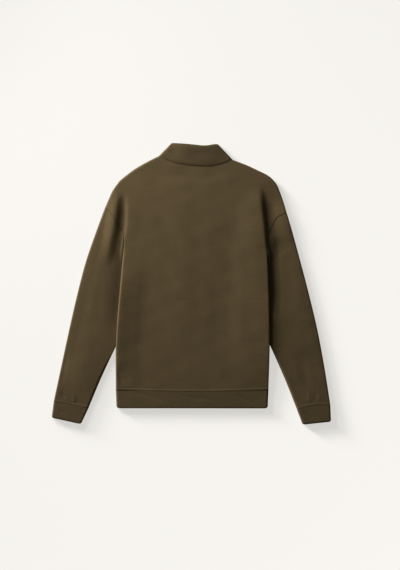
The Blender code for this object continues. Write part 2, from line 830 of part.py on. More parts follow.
jersey_finish = make_material("Heavy jersey", (0.074, 0.051, 0.022), 0.9, 0.0)
band_finish = make_material("Doubled jersey", (0.068, 0.048, 0.021), 0.9, 0.0)
tape_finish = make_material("Zip tape", (0.05, 0.037, 0.02), 0.85, 0.0)
metal_finish = make_material("Dark metal", (0.16, 0.145, 0.125), 0.35, 1.0)

make_body(jersey_finish)
make_sleeves(jersey_finish, band_finish)
make_hem(band_finish)
make_collar(band_finish)
make_zip(tape_finish, metal_finish)
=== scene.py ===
"""The look of a half zip sweatshirt that lies flat on its front, with its back up.

Shapes are worked out in millimetres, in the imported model's frame, and turned to metres as
each mesh is made. Left and right are the viewer's, looking down on the back.
"""

from __future__ import annotations

import logging
import math
from dataclasses import dataclass, field
from enum import Enum
from typing import Any, Callable

import bmesh
import bpy
import numpy as np
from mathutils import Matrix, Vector

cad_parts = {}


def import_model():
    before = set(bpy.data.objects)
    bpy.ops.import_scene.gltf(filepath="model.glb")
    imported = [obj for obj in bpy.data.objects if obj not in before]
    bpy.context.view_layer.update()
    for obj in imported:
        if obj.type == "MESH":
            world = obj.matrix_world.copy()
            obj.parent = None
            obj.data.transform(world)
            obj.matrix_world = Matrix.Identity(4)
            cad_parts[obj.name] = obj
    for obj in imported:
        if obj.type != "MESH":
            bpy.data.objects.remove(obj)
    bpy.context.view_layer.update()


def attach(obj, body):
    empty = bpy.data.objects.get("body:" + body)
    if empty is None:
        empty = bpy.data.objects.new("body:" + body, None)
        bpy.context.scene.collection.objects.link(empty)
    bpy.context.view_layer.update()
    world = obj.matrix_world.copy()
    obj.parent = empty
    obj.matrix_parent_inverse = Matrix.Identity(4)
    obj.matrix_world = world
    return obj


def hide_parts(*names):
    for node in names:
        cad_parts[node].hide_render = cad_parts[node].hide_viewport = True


LOG = logging.getLogger("sweatshirt")

MM = 0.001

CLOTH = 1.5                 # one layer of heavy jersey
BAND = 2.6                  # collar, hem band and cuffs, which are doubled
TAPE = 1.0                  # zip tape
SEAM = 0.3                  # between pieces that are sewn or lie on each other
MIDDLE = 3.0                # height where an upper and a lower layer meet
TUCKED = 5.1                # top of the sleeve where it lies between front and back
LEAST = 3.5                 # lowest that an upper layer sinks onto a lower one
HEM_SEAM = -295.0
HEM_SAG = 5.0
TUCK_RUN = 22.0             # over which the sleeve slips under the body, below the armhole
GROOVE = 2.2                # half width of the groove at an armhole seam
FOLD_DIP = 0.9              # how far a band sinks at its folded edge
ZIP_X = 12.0
ZIP_SLOT = 11.0
ZIP_BOTTOM = 92.0
ZIP_TOP = 320.0
STITCH_AWAY = 3.0           # from the zip's slot to the stitches beside it
SLOT_SEARCH = (0.2, 0.8, 241)   # shares of a row in which the slot's edge is looked for

CLOTH_SHARP = 50.0          # degrees above which an edge of a piece stays sharp
METAL_SHARP = 35.0

Array = np.ndarray
Spot = tuple[float, float]
Colour = tuple[float, float, float]
Faces = list[tuple[int, ...]]
Pair = tuple[Array, Array]
Material = bpy.types.Material
Thing = bpy.types.Object


def lerp(start: Any, end: Any, share: Any) -> Any:
    """Value part of the way from start to end."""
    return start + (end - start) * share


def ease(value: Any, start: float, end: float) -> Any:
    """0 at start and 1 at end, with a soft beginning and a soft finish."""
    share = np.clip((value - start) / (end - start), 0.0, 1.0)
    return share * share * (3.0 - 2.0 * share)


def arc(share: Any) -> Any:
    """Rise of a quarter circle at a share of its run."""
    left = 1.0 - np.clip(share, 0.0, 1.0)
    return np.sqrt(1.0 - left * left)


def quarter(steps: int) -> Pair:
    """Run and rise of a quarter circle, step by step from its edge inward."""
    turn = np.linspace(0.0, math.pi / 2, steps + 1)
    return 1.0 - np.cos(turn), np.sin(turn)


def soft_floor(level: Array, least: float, blend: float = 0.8) -> Array:
    """The higher of level and least, with the corner between them rounded."""
    gap = level - least
    return least + 0.5 * (gap + np.sqrt(gap * gap + blend * blend))


def bump_at(where: Array, middle: float, width: float) -> Array:
    """A smooth bump of height 1 about a middle."""
    return np.exp(-(((where - middle) / width) ** 2))


def hem_ridge(above: Array) -> Array:
    """Relief of a seam allowance pressed up above a band's seam, with its stitched edge beyond."""
    return 0.36 * bump_at(above, 2.8, 2.0) - 0.12 * bump_at(above, 7.2, 1.3)


def spread(marks: tuple[float, ...], steps: tuple[float, ...]) -> Array:
    """Rising values from the first mark to the last.

    Args:
        marks: Values that are always met.
        steps: The widest step between each mark and the next.

    Returns:
        All the values, in order.
    """
    values = [np.array([marks[0]])]
    for low, high, step in zip(marks, marks[1:], steps):
        count = max(1, math.ceil(abs(high - low) / step))
        values.append(np.linspace(low, high, count + 1)[1:])
    return np.concatenate(values)


@dataclass(frozen=True)
class Curve:
    """A smooth line through given points, read by its first number."""

    points: tuple[Spot, ...]

    def at(self, key: Any) -> Array:
        """Value on the line at each key.

        Args:
            key: One number or an array of them. Keys past an end take the end's value.

        Returns:
            An array of the same shape.
        """
        keys, values = np.array(sorted(self.points), dtype=float).T
        slopes = np.diff(values) / np.diff(keys)
        tangents = np.concatenate(([slopes[0]], (slopes[:-1] + slopes[1:]) / 2, [slopes[-1]]))
        key = np.clip(np.asarray(key, dtype=float), keys[0], keys[-1])
        index = np.clip(np.searchsorted(keys, key, side="right") - 1, 0, len(keys) - 2)
        span = keys[index + 1] - keys[index]
        t = (key - keys[index]) / span
        return (
            (2 * t**3 - 3 * t**2 + 1) * values[index]
            + (t**3 - 2 * t**2 + t) * span * tangents[index]
            + (3 * t**2 - 2 * t**3) * values[index + 1]
            + (t**3 - t**2) * span * tangents[index + 1]
        )


@dataclass(frozen=True)
class Crease:
    """A soft trough or ridge along a line of places, fading at both ends.

    left and right are its half widths as the viewer sees them on a crease that runs down
    the garment, and fade holds the lengths over which it comes in and goes out.
    """

    path: tuple[Spot, ...]
    height: float
    left: float
    right: float
    fade: Spot = (30.0, 30.0)

    def relief(self, x: Array, y: Array) -> Array:
        """Height that the crease adds at each place.

        Args:
            x: Places across.
            y: Places up the garment.

        Returns:
            Heights to add, one for each place.
        """
        nearest = np.full(np.shape(x), np.inf)
        side = np.zeros(np.shape(x))
        run = np.zeros(np.shape(x))
        before = 0.0
        for (x0, y0), (x1, y1) in zip(self.path, self.path[1:]):
            length = math.hypot(x1 - x0, y1 - y0)
            ux, uy = (x1 - x0) / length, (y1 - y0) / length
            along = np.clip((x - x0) * ux + (y - y0) * uy, 0.0, length)
            away_x, away_y = x - x0 - along * ux, y - y0 - along * uy
            away = np.hypot(away_x, away_y)
            closer = away < nearest
            nearest = np.where(closer, away, nearest)
            side = np.where(closer, ux * away_y - uy * away_x, side)
            run = np.where(closer, before + along, run)
            before += length
        width = np.where(side > 0, self.right, self.left)
        shape = 0.5 + 0.5 * np.cos(math.pi * np.clip(nearest / width, 0.0, 1.0))
        ends = ease(run, 0.0, self.fade[0]) * ease(run, before, before - self.fade[1])
        return self.height * shape * ends


def relief_of(creases: tuple[Crease, ...], x: Array, y: Array) -> Array:
    """Height that several creases add at each place."""
    return sum((crease.relief(x, y) for crease in creases), np.zeros(np.shape(x)))


@dataclass(frozen=True)
class Swell:
    """Wide, low waves that keep a cloth from lying like a board."""

    height: float
    waves: tuple[tuple[float, float, float], ...] = (
        (0.071, 0.018, 0.4),
        (0.034, -0.049, 1.9),
        (-0.019, 0.083, 3.1),
        (0.102, 0.041, 5.0),
        (0.058, -0.107, 2.2),
        (0.011, 0.027, 4.4),
    )

    def relief(self, x: Array, y: Array) -> Array:
        """Height that the waves add at each place."""
        total = sum(np.sin(along * x + up * y + shift) for along, up, shift in self.waves)
        return self.height * total / math.sqrt(len(self.waves))


@dataclass(frozen=True)
class CuffPlan:
    """Corners of a cuff: the ends of its seam and of its folded edge."""

    seam_outer: Spot
    seam_inner: Spot
    end_outer: Spot
    end_inner: Spot
    bow: float


@dataclass(frozen=True)
class Half:
    """Outlines and folds of one side of the garment.

    armhole holds the places on the armhole seam as (y, x, share of the sleeve's mouth).
    shadow gives the height of the sleeve's upper layer by its distance outside the body,
    and shadow_spans the heights, from the armhole's corner, where that comes in and goes out.
    seam_depths says how far the body and the sleeve dip at the armhole seam.
    crown gives its height across the sleeve, from the overarm edge to the underarm edge.
    """

    name: str
    sign: int
    side: Curve
    armhole: tuple[tuple[float, float, float], ...]
    shoulder: Curve
    outer: Curve
    inner: Curve
    underarm: Spot
    cuff: CuffPlan
    rim: Curve
    rim_height: float
    rim_strength: Curve
    shadow: Curve
    shadow_spans: tuple[Spot, Spot]
    seam_depths: Spot
    crown: Curve
    body_creases: tuple[Crease, ...]
    sleeve_creases: tuple[Crease, ...]

    @property
    def corner(self) -> float:
        """Height of the armhole seam's lower end."""
        return self.armhole[0][0]

    @property
    def overarm(self) -> float:
        """Height of the armhole seam's upper end."""
        return self.armhole[-1][0]

    def seam_curve(self) -> Curve:
        """The armhole seam as a smooth line, read by height."""
        return Curve(tuple((y, x) for y, x, _ in self.armhole))

    def outward(self, x: Array, y: Array) -> Array:
        """How far each place lies outside the side of the body."""
        return self.sign * (x - self.side.at(y))

    def edge_x(self, y: Array) -> Array:
        """Outline of the body at a height: its side, its armhole seam, or its shoulder."""
        upper = np.where(y < self.overarm, self.seam_curve().at(y), self.shoulder.at(y))
        return np.where(y <= self.corner, self.side.at(y), upper)

    def below_corner(self, y: Array) -> Array:
        """0 at the armhole's lower corner, and 1 where the sleeve is fully tucked under."""
        return ease(y, self.corner, self.corner - TUCK_RUN)


LEFT = Half(
    name="left",
    sign=-1,
    side=Curve((
        (-295, -211.5), (-170, -211.3), (-110, -208), (-60, -203.8),
        (0, -198.6), (56, -193.6), (95, -190.4), (143, -188),
    )),
    armhole=(
        (143, -188, 0.5), (158.5, -197.6, 0.4), (174, -206.4, 0.3),
        (194.5, -220.4, 0.15), (208, -231.8, 0.05), (215, -241, 0.0),
    ),
    shoulder=Curve((
        (215, -241), (234, -233), (262, -220), (276, -210.5), (290, -199.5),
        (304, -182.5), (321, -160), (343, -122), (358.5, -91),
    )),
    outer=Curve((
        (215, -241), (150, -265.2), (66, -294.4), (-18, -316.8),
        (-130, -342.6), (-242, -366.7), (-327, -385),
    )),
    inner=Curve((
        (74, -104), (-50, -157), (-174.7, -211.5), (-214, -230.3), (-270, -255.8), (-346, -287.5),
    )),
    underarm=(74, -104),
    cuff=CuffPlan((-385, -327), (-287.5, -346), (-391, -373.5), (-309, -391.5), 0.0),
    rim=Curve((
        (-4, 0.95), (4, 1.0), (12, 0.93), (30, 0.66), (50, 0.36), (64, 0.14), (78, 0.02), (90, 0.0),
    )),
    rim_height=7.0,
    rim_strength=Curve((
        (-295, 0.1), (-255, 0.4), (-190, 0.75), (-60, 1.0), (0, 0.9), (50, 0.5), (95, 0.2), (150, 0.0),
    )),
    shadow=Curve((
        (-14, 5.1), (-5, 5.3), (0, 5.6), (5, 6.2), (16, 8.2), (24, 9.4), (32, 10.3), (42, 11.0), (60, 11.5),
    )),
    shadow_spans=((6.0, -26.0), (-350.0, -190.0)),
    seam_depths=(0.3, 1.0),
    crown=Curve((
        (0.0, 11.6), (0.1, 11.75), (0.2, 11.7), (0.34, 12.5), (0.5, 13.0),
        (0.66, 12.6), (0.84, 11.6), (1.0, 10.6),
    )),
    body_creases=(
        Crease(((-192, 272), (-190, 240), (-190, 207), (-193, 157), (-197, 120)), -4.4, 20, 14, (100, 34)),
        Crease(((-173, 262), (-174, 207), (-177, 157), (-184, 110)), 1.2, 18, 44, (60, 50)),
        Crease(((-206, 264), (-213, 207), (-221, 157), (-230, 95), (-247, 40)), 4.4, 28, 21, (55, 90)),
        Crease(((-207, -210), (-200, -258), (-190, -288)), -1.4, 12, 55, (44, 24)),
    ),
    sleeve_creases=(
        Crease(((-189, 172), (-196, 135), (-200, 100), (-207, 66)), -3.4, 18, 45, (34, 100)),
        Crease(((-345, -150), (-352, -215), (-372, -296)), -1.1, 20, 16, (60, 40)),
        Crease(((-366, -300), (-352, -322)), -0.9, 9, 9, (14, 8)),
        Crease(((-331, -305), (-325, -332)), 0.7, 9, 9, (14, 6)),
    ),
)

RIGHT = Half(
    name="right",
    sign=1,
    side=Curve(((-295, 215.5), (-170, 219), (-50, 217.7), (11, 215.7), (84, 212.4), (125, 210.5))),
    armhole=(
        (125, 210.5, 0.5), (139, 219.5, 0.4), (166, 229, 0.3),
        (190, 247, 0.1), (194.7, 257, 0.05), (199, 266.5, 0.0),
    ),
    shoulder=Curve((
        (199, 266.5), (220, 260.5), (248, 251.3), (262, 246), (276, 239.8),
        (290, 229.5), (304, 213.8), (321, 180.2), (332, 156.4), (348, 115),
    )),
    outer=Curve((
        (199, 266.5), (150, 281), (66, 304.2), (-18, 326.3), (-130, 352.9), (-242, 373.7), (-338, 388.6),
    )),
    inner=Curve(((70, 110), (-50, 164.5), (-173.3, 220.5), (-214, 239), (-270, 263.3), (-350, 295))),
    underarm=(70, 110),
    cuff=CuffPlan((388.6, -338), (295, -350), (390.5, -384.5), (311, -393), 5.0),
    rim=Curve(((-4, 0.97), (6, 1.0), (18, 0.97), (40, 0.82), (70, 0.5), (105, 0.16), (150, 0.0))),
    rim_height=4.6,
    rim_strength=Curve((
        (-295, 0.1), (-255, 0.45), (-190, 0.95), (60, 1.0), (105, 0.92), (150, 0.5), (205, 0.1), (240, 0.0),
    )),
    shadow=Curve((
        (-14, 5.2), (-4, 5.1), (3, 5.0), (20, 5.0), (28, 6.3), (36, 7.7), (48, 8.5), (68, 8.8), (90, 9.0),
    )),
    shadow_spans=((12.0, -20.0), (-220.0, -150.0)),
    seam_depths=(0.8, 0.1),
    crown=Curve((
        (0.0, 9.6), (0.1, 10.0), (0.25, 9.9), (0.45, 9.8), (0.65, 9.7), (0.84, 9.6), (1.0, 9.6),
    )),
    body_creases=(
        Crease(((182, 284), (186, 248), (192, 207), (199, 157), (203, 90)), 4.0, 75, 19, (80, 70)),
        Crease(((205, 282), (208, 248), (213, 207), (217, 157), (224, 70)), -4.8, 15, 60, (75, 50)),
    ),
    sleeve_creases=(
        Crease(((332, -296), (326, -316), (331, -330)), 0.35, 7, 8, (12, 8)),
        Crease(((346, -300), (345, -330)), -0.35, 7, 8, (14, 8)),
        Crease(((360, -304), (357, -330)), 0.3, 7, 8, (12, 8)),
        Crease(((300, -190), (318, -260), (330, -300)), -0.7, 24, 20, (60, 30)),
    ),
)

HALVES = (LEFT, RIGHT)
SIDES = {half.sign: half.name for half in HALVES}

BACK_CREASES = (
    Crease(((96, 210), (104, 60), (100, -90), (92, -220)), -1.2, 66, 46, (110, 90)),
    Crease(((-30, 250), (-26, 90), (-22, -60), (-18, -190)), 0.9, 60, 50, (120, 110)),
    Crease(((-150, 330), (-60, 306), (40, 300), (130, 318)), -0.7, 26, 34, (70, 70)),
)

FRONT_CREASES = (
    Crease(((-150, 190), (-128, 120), (-118, 40)), 0.9, 9, 12, (40, 60)),
    Crease(((-96, -40), (-88, -120), (-92, -210)), 0.6, 12, 9, (50, 60)),
    Crease(((152, 172), (138, 96), (134, 10)), 1.0, 10, 8, (30, 70)),
    Crease(((104, -60), (112, -160), (108, -236)), 0.5, 9, 12, (60, 40)),
    Crease(((-60, 78), (-24, 60), (30, 62), (84, 84)), 0.5, 10, 8, (30, 40)),
)

BAND_CREASES = (
    Crease(((-168, -301), (-120, -312), (-62, -330)), -0.32, 8, 10, (30, 40)),
    Crease(((-40, -309), (10, -318), (64, -320)), -0.35, 8, 8, (30, 30)),
    Crease(((120, -306), (150, -320), (168, -336)), -0.45, 7, 8, (20, 20)),
)

COLLAR_CREASES = (
    Crease(((-30, 352), (24, 362), (70, 372)), -0.6, 22, 26, (40, 30)),
    Crease(((-72, 372), (-52, 384)), 0.8, 16, 16, (10, 8)),
)

BACK_NECK = Curve((
    (0.0, 0.0), (0.07, 8.4), (0.173, 16.4), (0.292, 21.0), (0.395, 23.2), (0.506, 24.4),
    (0.605, 24.4), (0.728, 22.0), (0.839, 16.0), (0.928, 8.8), (1.0, 0.0),
))

COLLAR_DIP = Curve((
    (0.0, 0.0), (0.2, 0.7), (0.36, 1.8), (0.52, 3.4), (0.66, 4.7),
    (0.78, 3.8), (0.87, 1.4), (0.94, 0.0), (1.0, 0.0),
))

COLLAR_SWELL = Curve((
    (-100, 0.0), (-60, 0.36), (-30, 0.84), (-8, 1.0), (20, 1.0), (50, 0.92), (80, 0.58), (105, 0.2),
))


class Face(Enum):
    """The two faces of a flattened tube of cloth."""

    UP = "up"
    DOWN = "down"


class Held(Enum):
    """How a cloth is held, in the words that the frame knows."""

    LAID = "laid"
    FOLDED = "folded"


class Slot(Enum):
    """The record's material slots."""

    JERSEY = "jersey"
    BAND = "band"
    TAPE = "tape"
    METAL = "metal"


class MixSocket(Enum):
    """Places of a Mix node's sockets, where it mixes colours."""

    SHARE = 0
    LOW = 6
    HIGH = 7
    RESULT = 2


# --- finishes ---


class Signal:
    """One socket of a material's nodes, with arithmetic that adds Math nodes."""

    def __init__(self, sheet: "NodeSheet", socket: bpy.types.NodeSocket) -> None:
        """Wrap a socket of a sheet of nodes."""
        self.sheet = sheet
        self.socket = socket

    def _math(self, operation: str, *terms: Any) -> "Signal":
        """Add one Math node for an operation on terms."""
        node = self.sheet.add("ShaderNodeMath", {"operation": operation}, dict(enumerate(terms)))
        return Signal(self.sheet, node.outputs[0])

    def __add__(self, other: Any) -> "Signal":
        """This plus other."""
        return self._math("ADD", self, other)

    def __radd__(self, other: Any) -> "Signal":
        """Other plus this."""
        return self._math("ADD", other, self)

    def __sub__(self, other: Any) -> "Signal":
        """This less other."""
        return self._math("SUBTRACT", self, other)

    def __rsub__(self, other: Any) -> "Signal":
        """Other less this."""
        return self._math("SUBTRACT", other, self)

    def __mul__(self, other: Any) -> "Signal":
        """This times other."""
        return self._math("MULTIPLY", self, other)

    def __rmul__(self, other: Any) -> "Signal":
        """Other times this."""
        return self._math("MULTIPLY", other, self)

    def __abs__(self) -> "Signal":
        """This without its sign."""
        return self._math("ABSOLUTE", self)

    def fraction(self) -> "Signal":
        """What is left of this after its whole part."""
        return self._math("FRACT", self)

    def tent(self) -> "Signal":
        """1 in the middle of each whole step, and 0 at its ends."""
        return 1.0 - 2.0 * abs(self.fraction() - 0.5)

    def power(self, exponent: float) -> "Signal":
        """This to a power."""
        return self._math("POWER", self, exponent)


class NodeSheet:
    """The nodes of one material."""

    def __init__(self, name: str) -> None:
        """Make a material with an empty sheet of nodes, a shader and an output.

        Args:
            name: The material's name.
        """
        self.material = bpy.data.materials.new(name)
        self.material.use_nodes = True
        self.tree = self.material.node_tree
        self.tree.nodes.clear()
        self.shader = self.add("ShaderNodeBsdfPrincipled")
        self.add("ShaderNodeOutputMaterial", {}, {"Surface": self.out(self.shader)})

    def add(
        self,
        kind: str,
        settings: dict[str, Any] | None = None,
        sockets: dict[str | int, Any] | None = None,
    ) -> bpy.types.Node:
        """Add one node.

        Args:
            kind: The node's type.
            settings: Its settings, set first.
            sockets: Values or signals of its sockets, by name or place.

        Returns:
            The node.
        """
        node = self.tree.nodes.new(kind)
        for key, value in (settings or {}).items():
            setattr(node, key, value)
        for key, value in (sockets or {}).items():
            self.feed(node, key, value)
        return node

    def feed(self, node: bpy.types.Node, key: str | int, value: Any) -> None:
        """Set or link one socket of a node.

        Args:
            node: The node that takes it.
            key: The socket's name or number.
            value: A signal to link, or a number, a colour or a vector to set.
        """
        if isinstance(value, Signal):
            self.tree.links.new(value.socket, node.inputs[key])
        else:
            node.inputs[key].default_value = value

    def out(self, node: bpy.types.Node, key: str | int = 0) -> Signal:
        """One output of a node."""
        return Signal(self, node.outputs[key])

    def noise(self, place: Signal, scale: float, detail: float = 2.0, roughness: float = 0.5) -> Signal:
        """Cloudy noise at a place, from 0 to 1.

        Args:
            place: Where it is read.
            scale: How many clouds there are to a unit.
            detail: How many finer layers it has.
            roughness: How strong they are.

        Returns:
            The noise.
        """
        node = self.add(
            "ShaderNodeTexNoise",
            {"noise_dimensions": "3D"},
            {"Vector": place, "Scale": scale, "Detail": detail, "Roughness": roughness},
        )
        return self.out(node, "Fac")

    def stretch(self, place: Signal, scale: tuple[float, float, float]) -> Signal:
        """A place with each axis scaled."""
        node = self.add("ShaderNodeVectorMath", {"operation": "MULTIPLY"}, {0: place, 1: scale})
        return self.out(node)

    def mix(self, share: Signal, colour: Colour, tones: Spot) -> Signal:
        """A colour that runs from darker to lighter.

        Args:
            share: 0 gives the darkest and 1 the lightest tone.
            colour: The colour that the tones are shares of.
            tones: Both tones.

        Returns:
            The colour.
        """
        node = self.add("ShaderNodeMix", {"data_type": "RGBA"}, {
            MixSocket.SHARE.value: share,
            MixSocket.LOW.value: shade(colour, tones[0]),
            MixSocket.HIGH.value: shade(colour, tones[1]),
        })
        return self.out(node, MixSocket.RESULT.value)

    def bump(
        self, height: Signal, distance: float, strength: float, normal: Signal | None = None
    ) -> Signal:
        """A normal roughened by a height.

        Args:
            height: The height, of about 0 to 1.
            distance: How far a height of 1 stands out.
            strength: How much of it shows.
            normal: A normal to add it to, or nothing for the surface's own.

        Returns:
            The normal.
        """
        sockets: dict[str | int, Any] = {"Height": height, "Distance": distance, "Strength": strength}
        if normal is not None:
            sockets["Normal"] = normal
        return self.out(self.add("ShaderNodeBump", {}, sockets), "Normal")

    def cloth(self) -> tuple[Signal, Signal, Signal]:
        """Place on the cloth, and its distances across and along.

        Returns:
            The place, its X and its Y.
        """
        place = self.out(self.add("ShaderNodeAttribute", {"attribute_name": "cloth"}), "Vector")
        parts = self.add("ShaderNodeSeparateXYZ", {}, {0: place})
        return place, self.out(parts, "X"), self.out(parts, "Y")

    def place(self) -> Signal:
        """Place on the object."""
        return self.out(self.add("ShaderNodeTexCoord"), "Object")

    def finish(self, sockets: dict[str, Any]) -> Material:
        """Set or link the shader's sockets.

        Args:
            sockets: Values or signals, by the socket's name.

        Returns:
            The material.
        """
        for key, value in sockets.items():
            self.feed(self.shader, key, value)
        return self.material


def shade(colour: Colour, factor: float) -> tuple[float, float, float, float]:
    """A colour made lighter or darker, with full alpha."""
    red, green, blue = (min(1.0, part * factor) for part in colour)
    return red, green, blue, 1.0


@dataclass(frozen=True)
class KnitFinish:
    """Heavy cotton jersey: small knitted columns, faint streaks across and a soft nap.

    wale and course are the width of a knitted column and the height of a row, in metres.
    slant leans the loops, thin rounds them and loop_depth sets them off from their column.
    Every finish gives its darkest and its lightest tone as shares of its colour, in tones.
    """

    name: str
    colour: Colour
    wale: float = 0.00125
    course: float = 0.00105
    slant: float = 0.42
    thin: float = 0.6
    loop_depth: float = 0.55
    knit_middle: float = 0.55
    streak: float = 0.64
    yarn: float = 0.192
    cloud: float = 0.72
    knit_tone: float = 0.286
    roughness: float = 0.93
    tones: Spot = (0.78, 1.22)

    def make(self) -> Material:
        """Make the material.

        Returns:
            The material.
        """
        sheet = NodeSheet(self.name)
        cloth, across, along = sheet.cloth()
        column = (across * (1.0 / self.wale)).tent()
        loop = (along * (1.0 / self.course) + column * self.slant).tent()
        knit = column.power(self.thin) * (loop * self.loop_depth + (1.0 - self.loop_depth))
        streaks = sheet.noise(sheet.stretch(cloth, (9.0, 300.0, 1.0)), 1.0, 3.0, 0.6)
        yarn = sheet.noise(sheet.stretch(cloth, (60.0, 950.0, 1.0)), 1.0, 1.0)
        clouds = sheet.noise(cloth, 17.0, 3.0, 0.55)
        nap = sheet.noise(cloth, 1900.0, 2.0, 0.7)
        tone = (
            0.5
            + (streaks - 0.5) * self.streak
            + (yarn - 0.5) * self.yarn
            + (clouds - 0.5) * self.cloud
            + (knit - self.knit_middle) * self.knit_tone
        )
        return sheet.finish({
            "Base Color": sheet.mix(tone, self.colour, self.tones),
            "Roughness": self.roughness + (nap - 0.5) * 0.08,
            "Normal": sheet.bump(nap, 0.00018, 0.35, sheet.bump(knit, 0.00035, 0.55)),
            "Specular IOR Level": 0.16,
            "Sheen Weight": 0.10,
            "Sheen Roughness": 0.5,
            "Sheen Tint": shade(self.colour, 4.0),
        })


@dataclass(frozen=True)
class TwillFinish:
    """Woven zip tape, with a fine herringbone whose ribs are rib metres apart."""

    name: str
    colour: Colour
    rib: float = 0.0016
    lean: float = 1.3
    tones: Spot = (0.7, 1.3)

    def make(self) -> Material:
        """Make the material.

        Returns:
            The material.
        """
        sheet = NodeSheet(self.name)
        cloth, across, along = sheet.cloth()
        zigzag = (across * (0.5 / self.rib)).tent()
        ridge = (along * (1.0 / self.rib) + zigzag * self.lean).tent()
        nap = sheet.noise(cloth, 1400.0, 2.0)
        tone = 0.2 + ridge * 0.5 + (nap - 0.5) * 0.5
        return sheet.finish({
            "Base Color": sheet.mix(tone, self.colour, self.tones),
            "Roughness": 0.8 + (nap - 0.5) * 0.1,
            "Normal": sheet.bump(ridge, 0.0003, 0.6),
            "Specular IOR Level": 0.25,
        })


@dataclass(frozen=True)
class ThreadFinish:
    """Sewing thread with a little twist in its shine."""

    name: str
    colour: Colour
    tones: Spot = (0.75, 1.3)

    def make(self) -> Material:
        """Make the material.

        Returns:
            The material.
        """
        sheet = NodeSheet(self.name)
        place = sheet.place()
        twist = sheet.noise(place, 2600.0, 2.0)
        return sheet.finish({
            "Base Color": sheet.mix(twist, self.colour, self.tones),
            "Roughness": 0.5 + twist * 0.2,
            "Normal": sheet.bump(twist, 0.0001, 0.5),
        })


@dataclass(frozen=True)
class MetalFinish:
    """Dark plated zip metal, brighter where it has been handled."""

    name: str
    colour: Colour
    roughness: float = 0.34
    tones: Spot = (0.75, 1.5)

    def make(self) -> Material:
        """Make the material.

        Returns:
            The material.
        """
        sheet = NodeSheet(self.name)
        place = sheet.place()
        wear = sheet.noise(place, 240.0, 3.0, 0.6)
        grain = sheet.noise(sheet.stretch(place, (1.0, 14.0, 1.0)), 900.0, 2.0)
        tone = wear * 0.8 + grain * 0.2
        return sheet.finish({
            "Base Color": sheet.mix(tone, self.colour, self.tones),
            "Roughness": self.roughness + (grain - 0.5) * 0.25,
            "Normal": sheet.bump(grain, 0.00005, 0.4),
            "Metallic": 1.0,
        })


@dataclass(frozen=True)
class GroundFinish:
    """Smooth cream paper, lit from below too, and darker near the light, so that it looks even.

    away holds the distances from the light's foot at which its tones begin and end.
    """

    name: str
    colour: Colour
    glow: float = 0.664
    light_foot: tuple[float, float, float] = (-1.12, 1.12, 0.0)
    tones: Spot = (0.065, 0.642)
    away: Spot = (0.6, 2.6)

    def make(self) -> Material:
        """Make the material.

        Returns:
            The material.
        """
        sheet = NodeSheet(self.name)
        place = sheet.place()
        away = sheet.add("ShaderNodeVectorMath", {"operation": "DISTANCE"}, {0: place, 1: self.light_foot})
        start, end = self.away
        tone = (sheet.out(away, "Value") - start) * (1.0 / (end - start))
        return sheet.finish({
            "Base Color": sheet.mix(tone, self.colour, self.tones),
            "Emission Color": shade(self.colour, 1.0),
            "Emission Strength": self.glow,
            "Roughness": 0.95,
            "Specular IOR Level": 0.05,
        })


# --- cloth ---


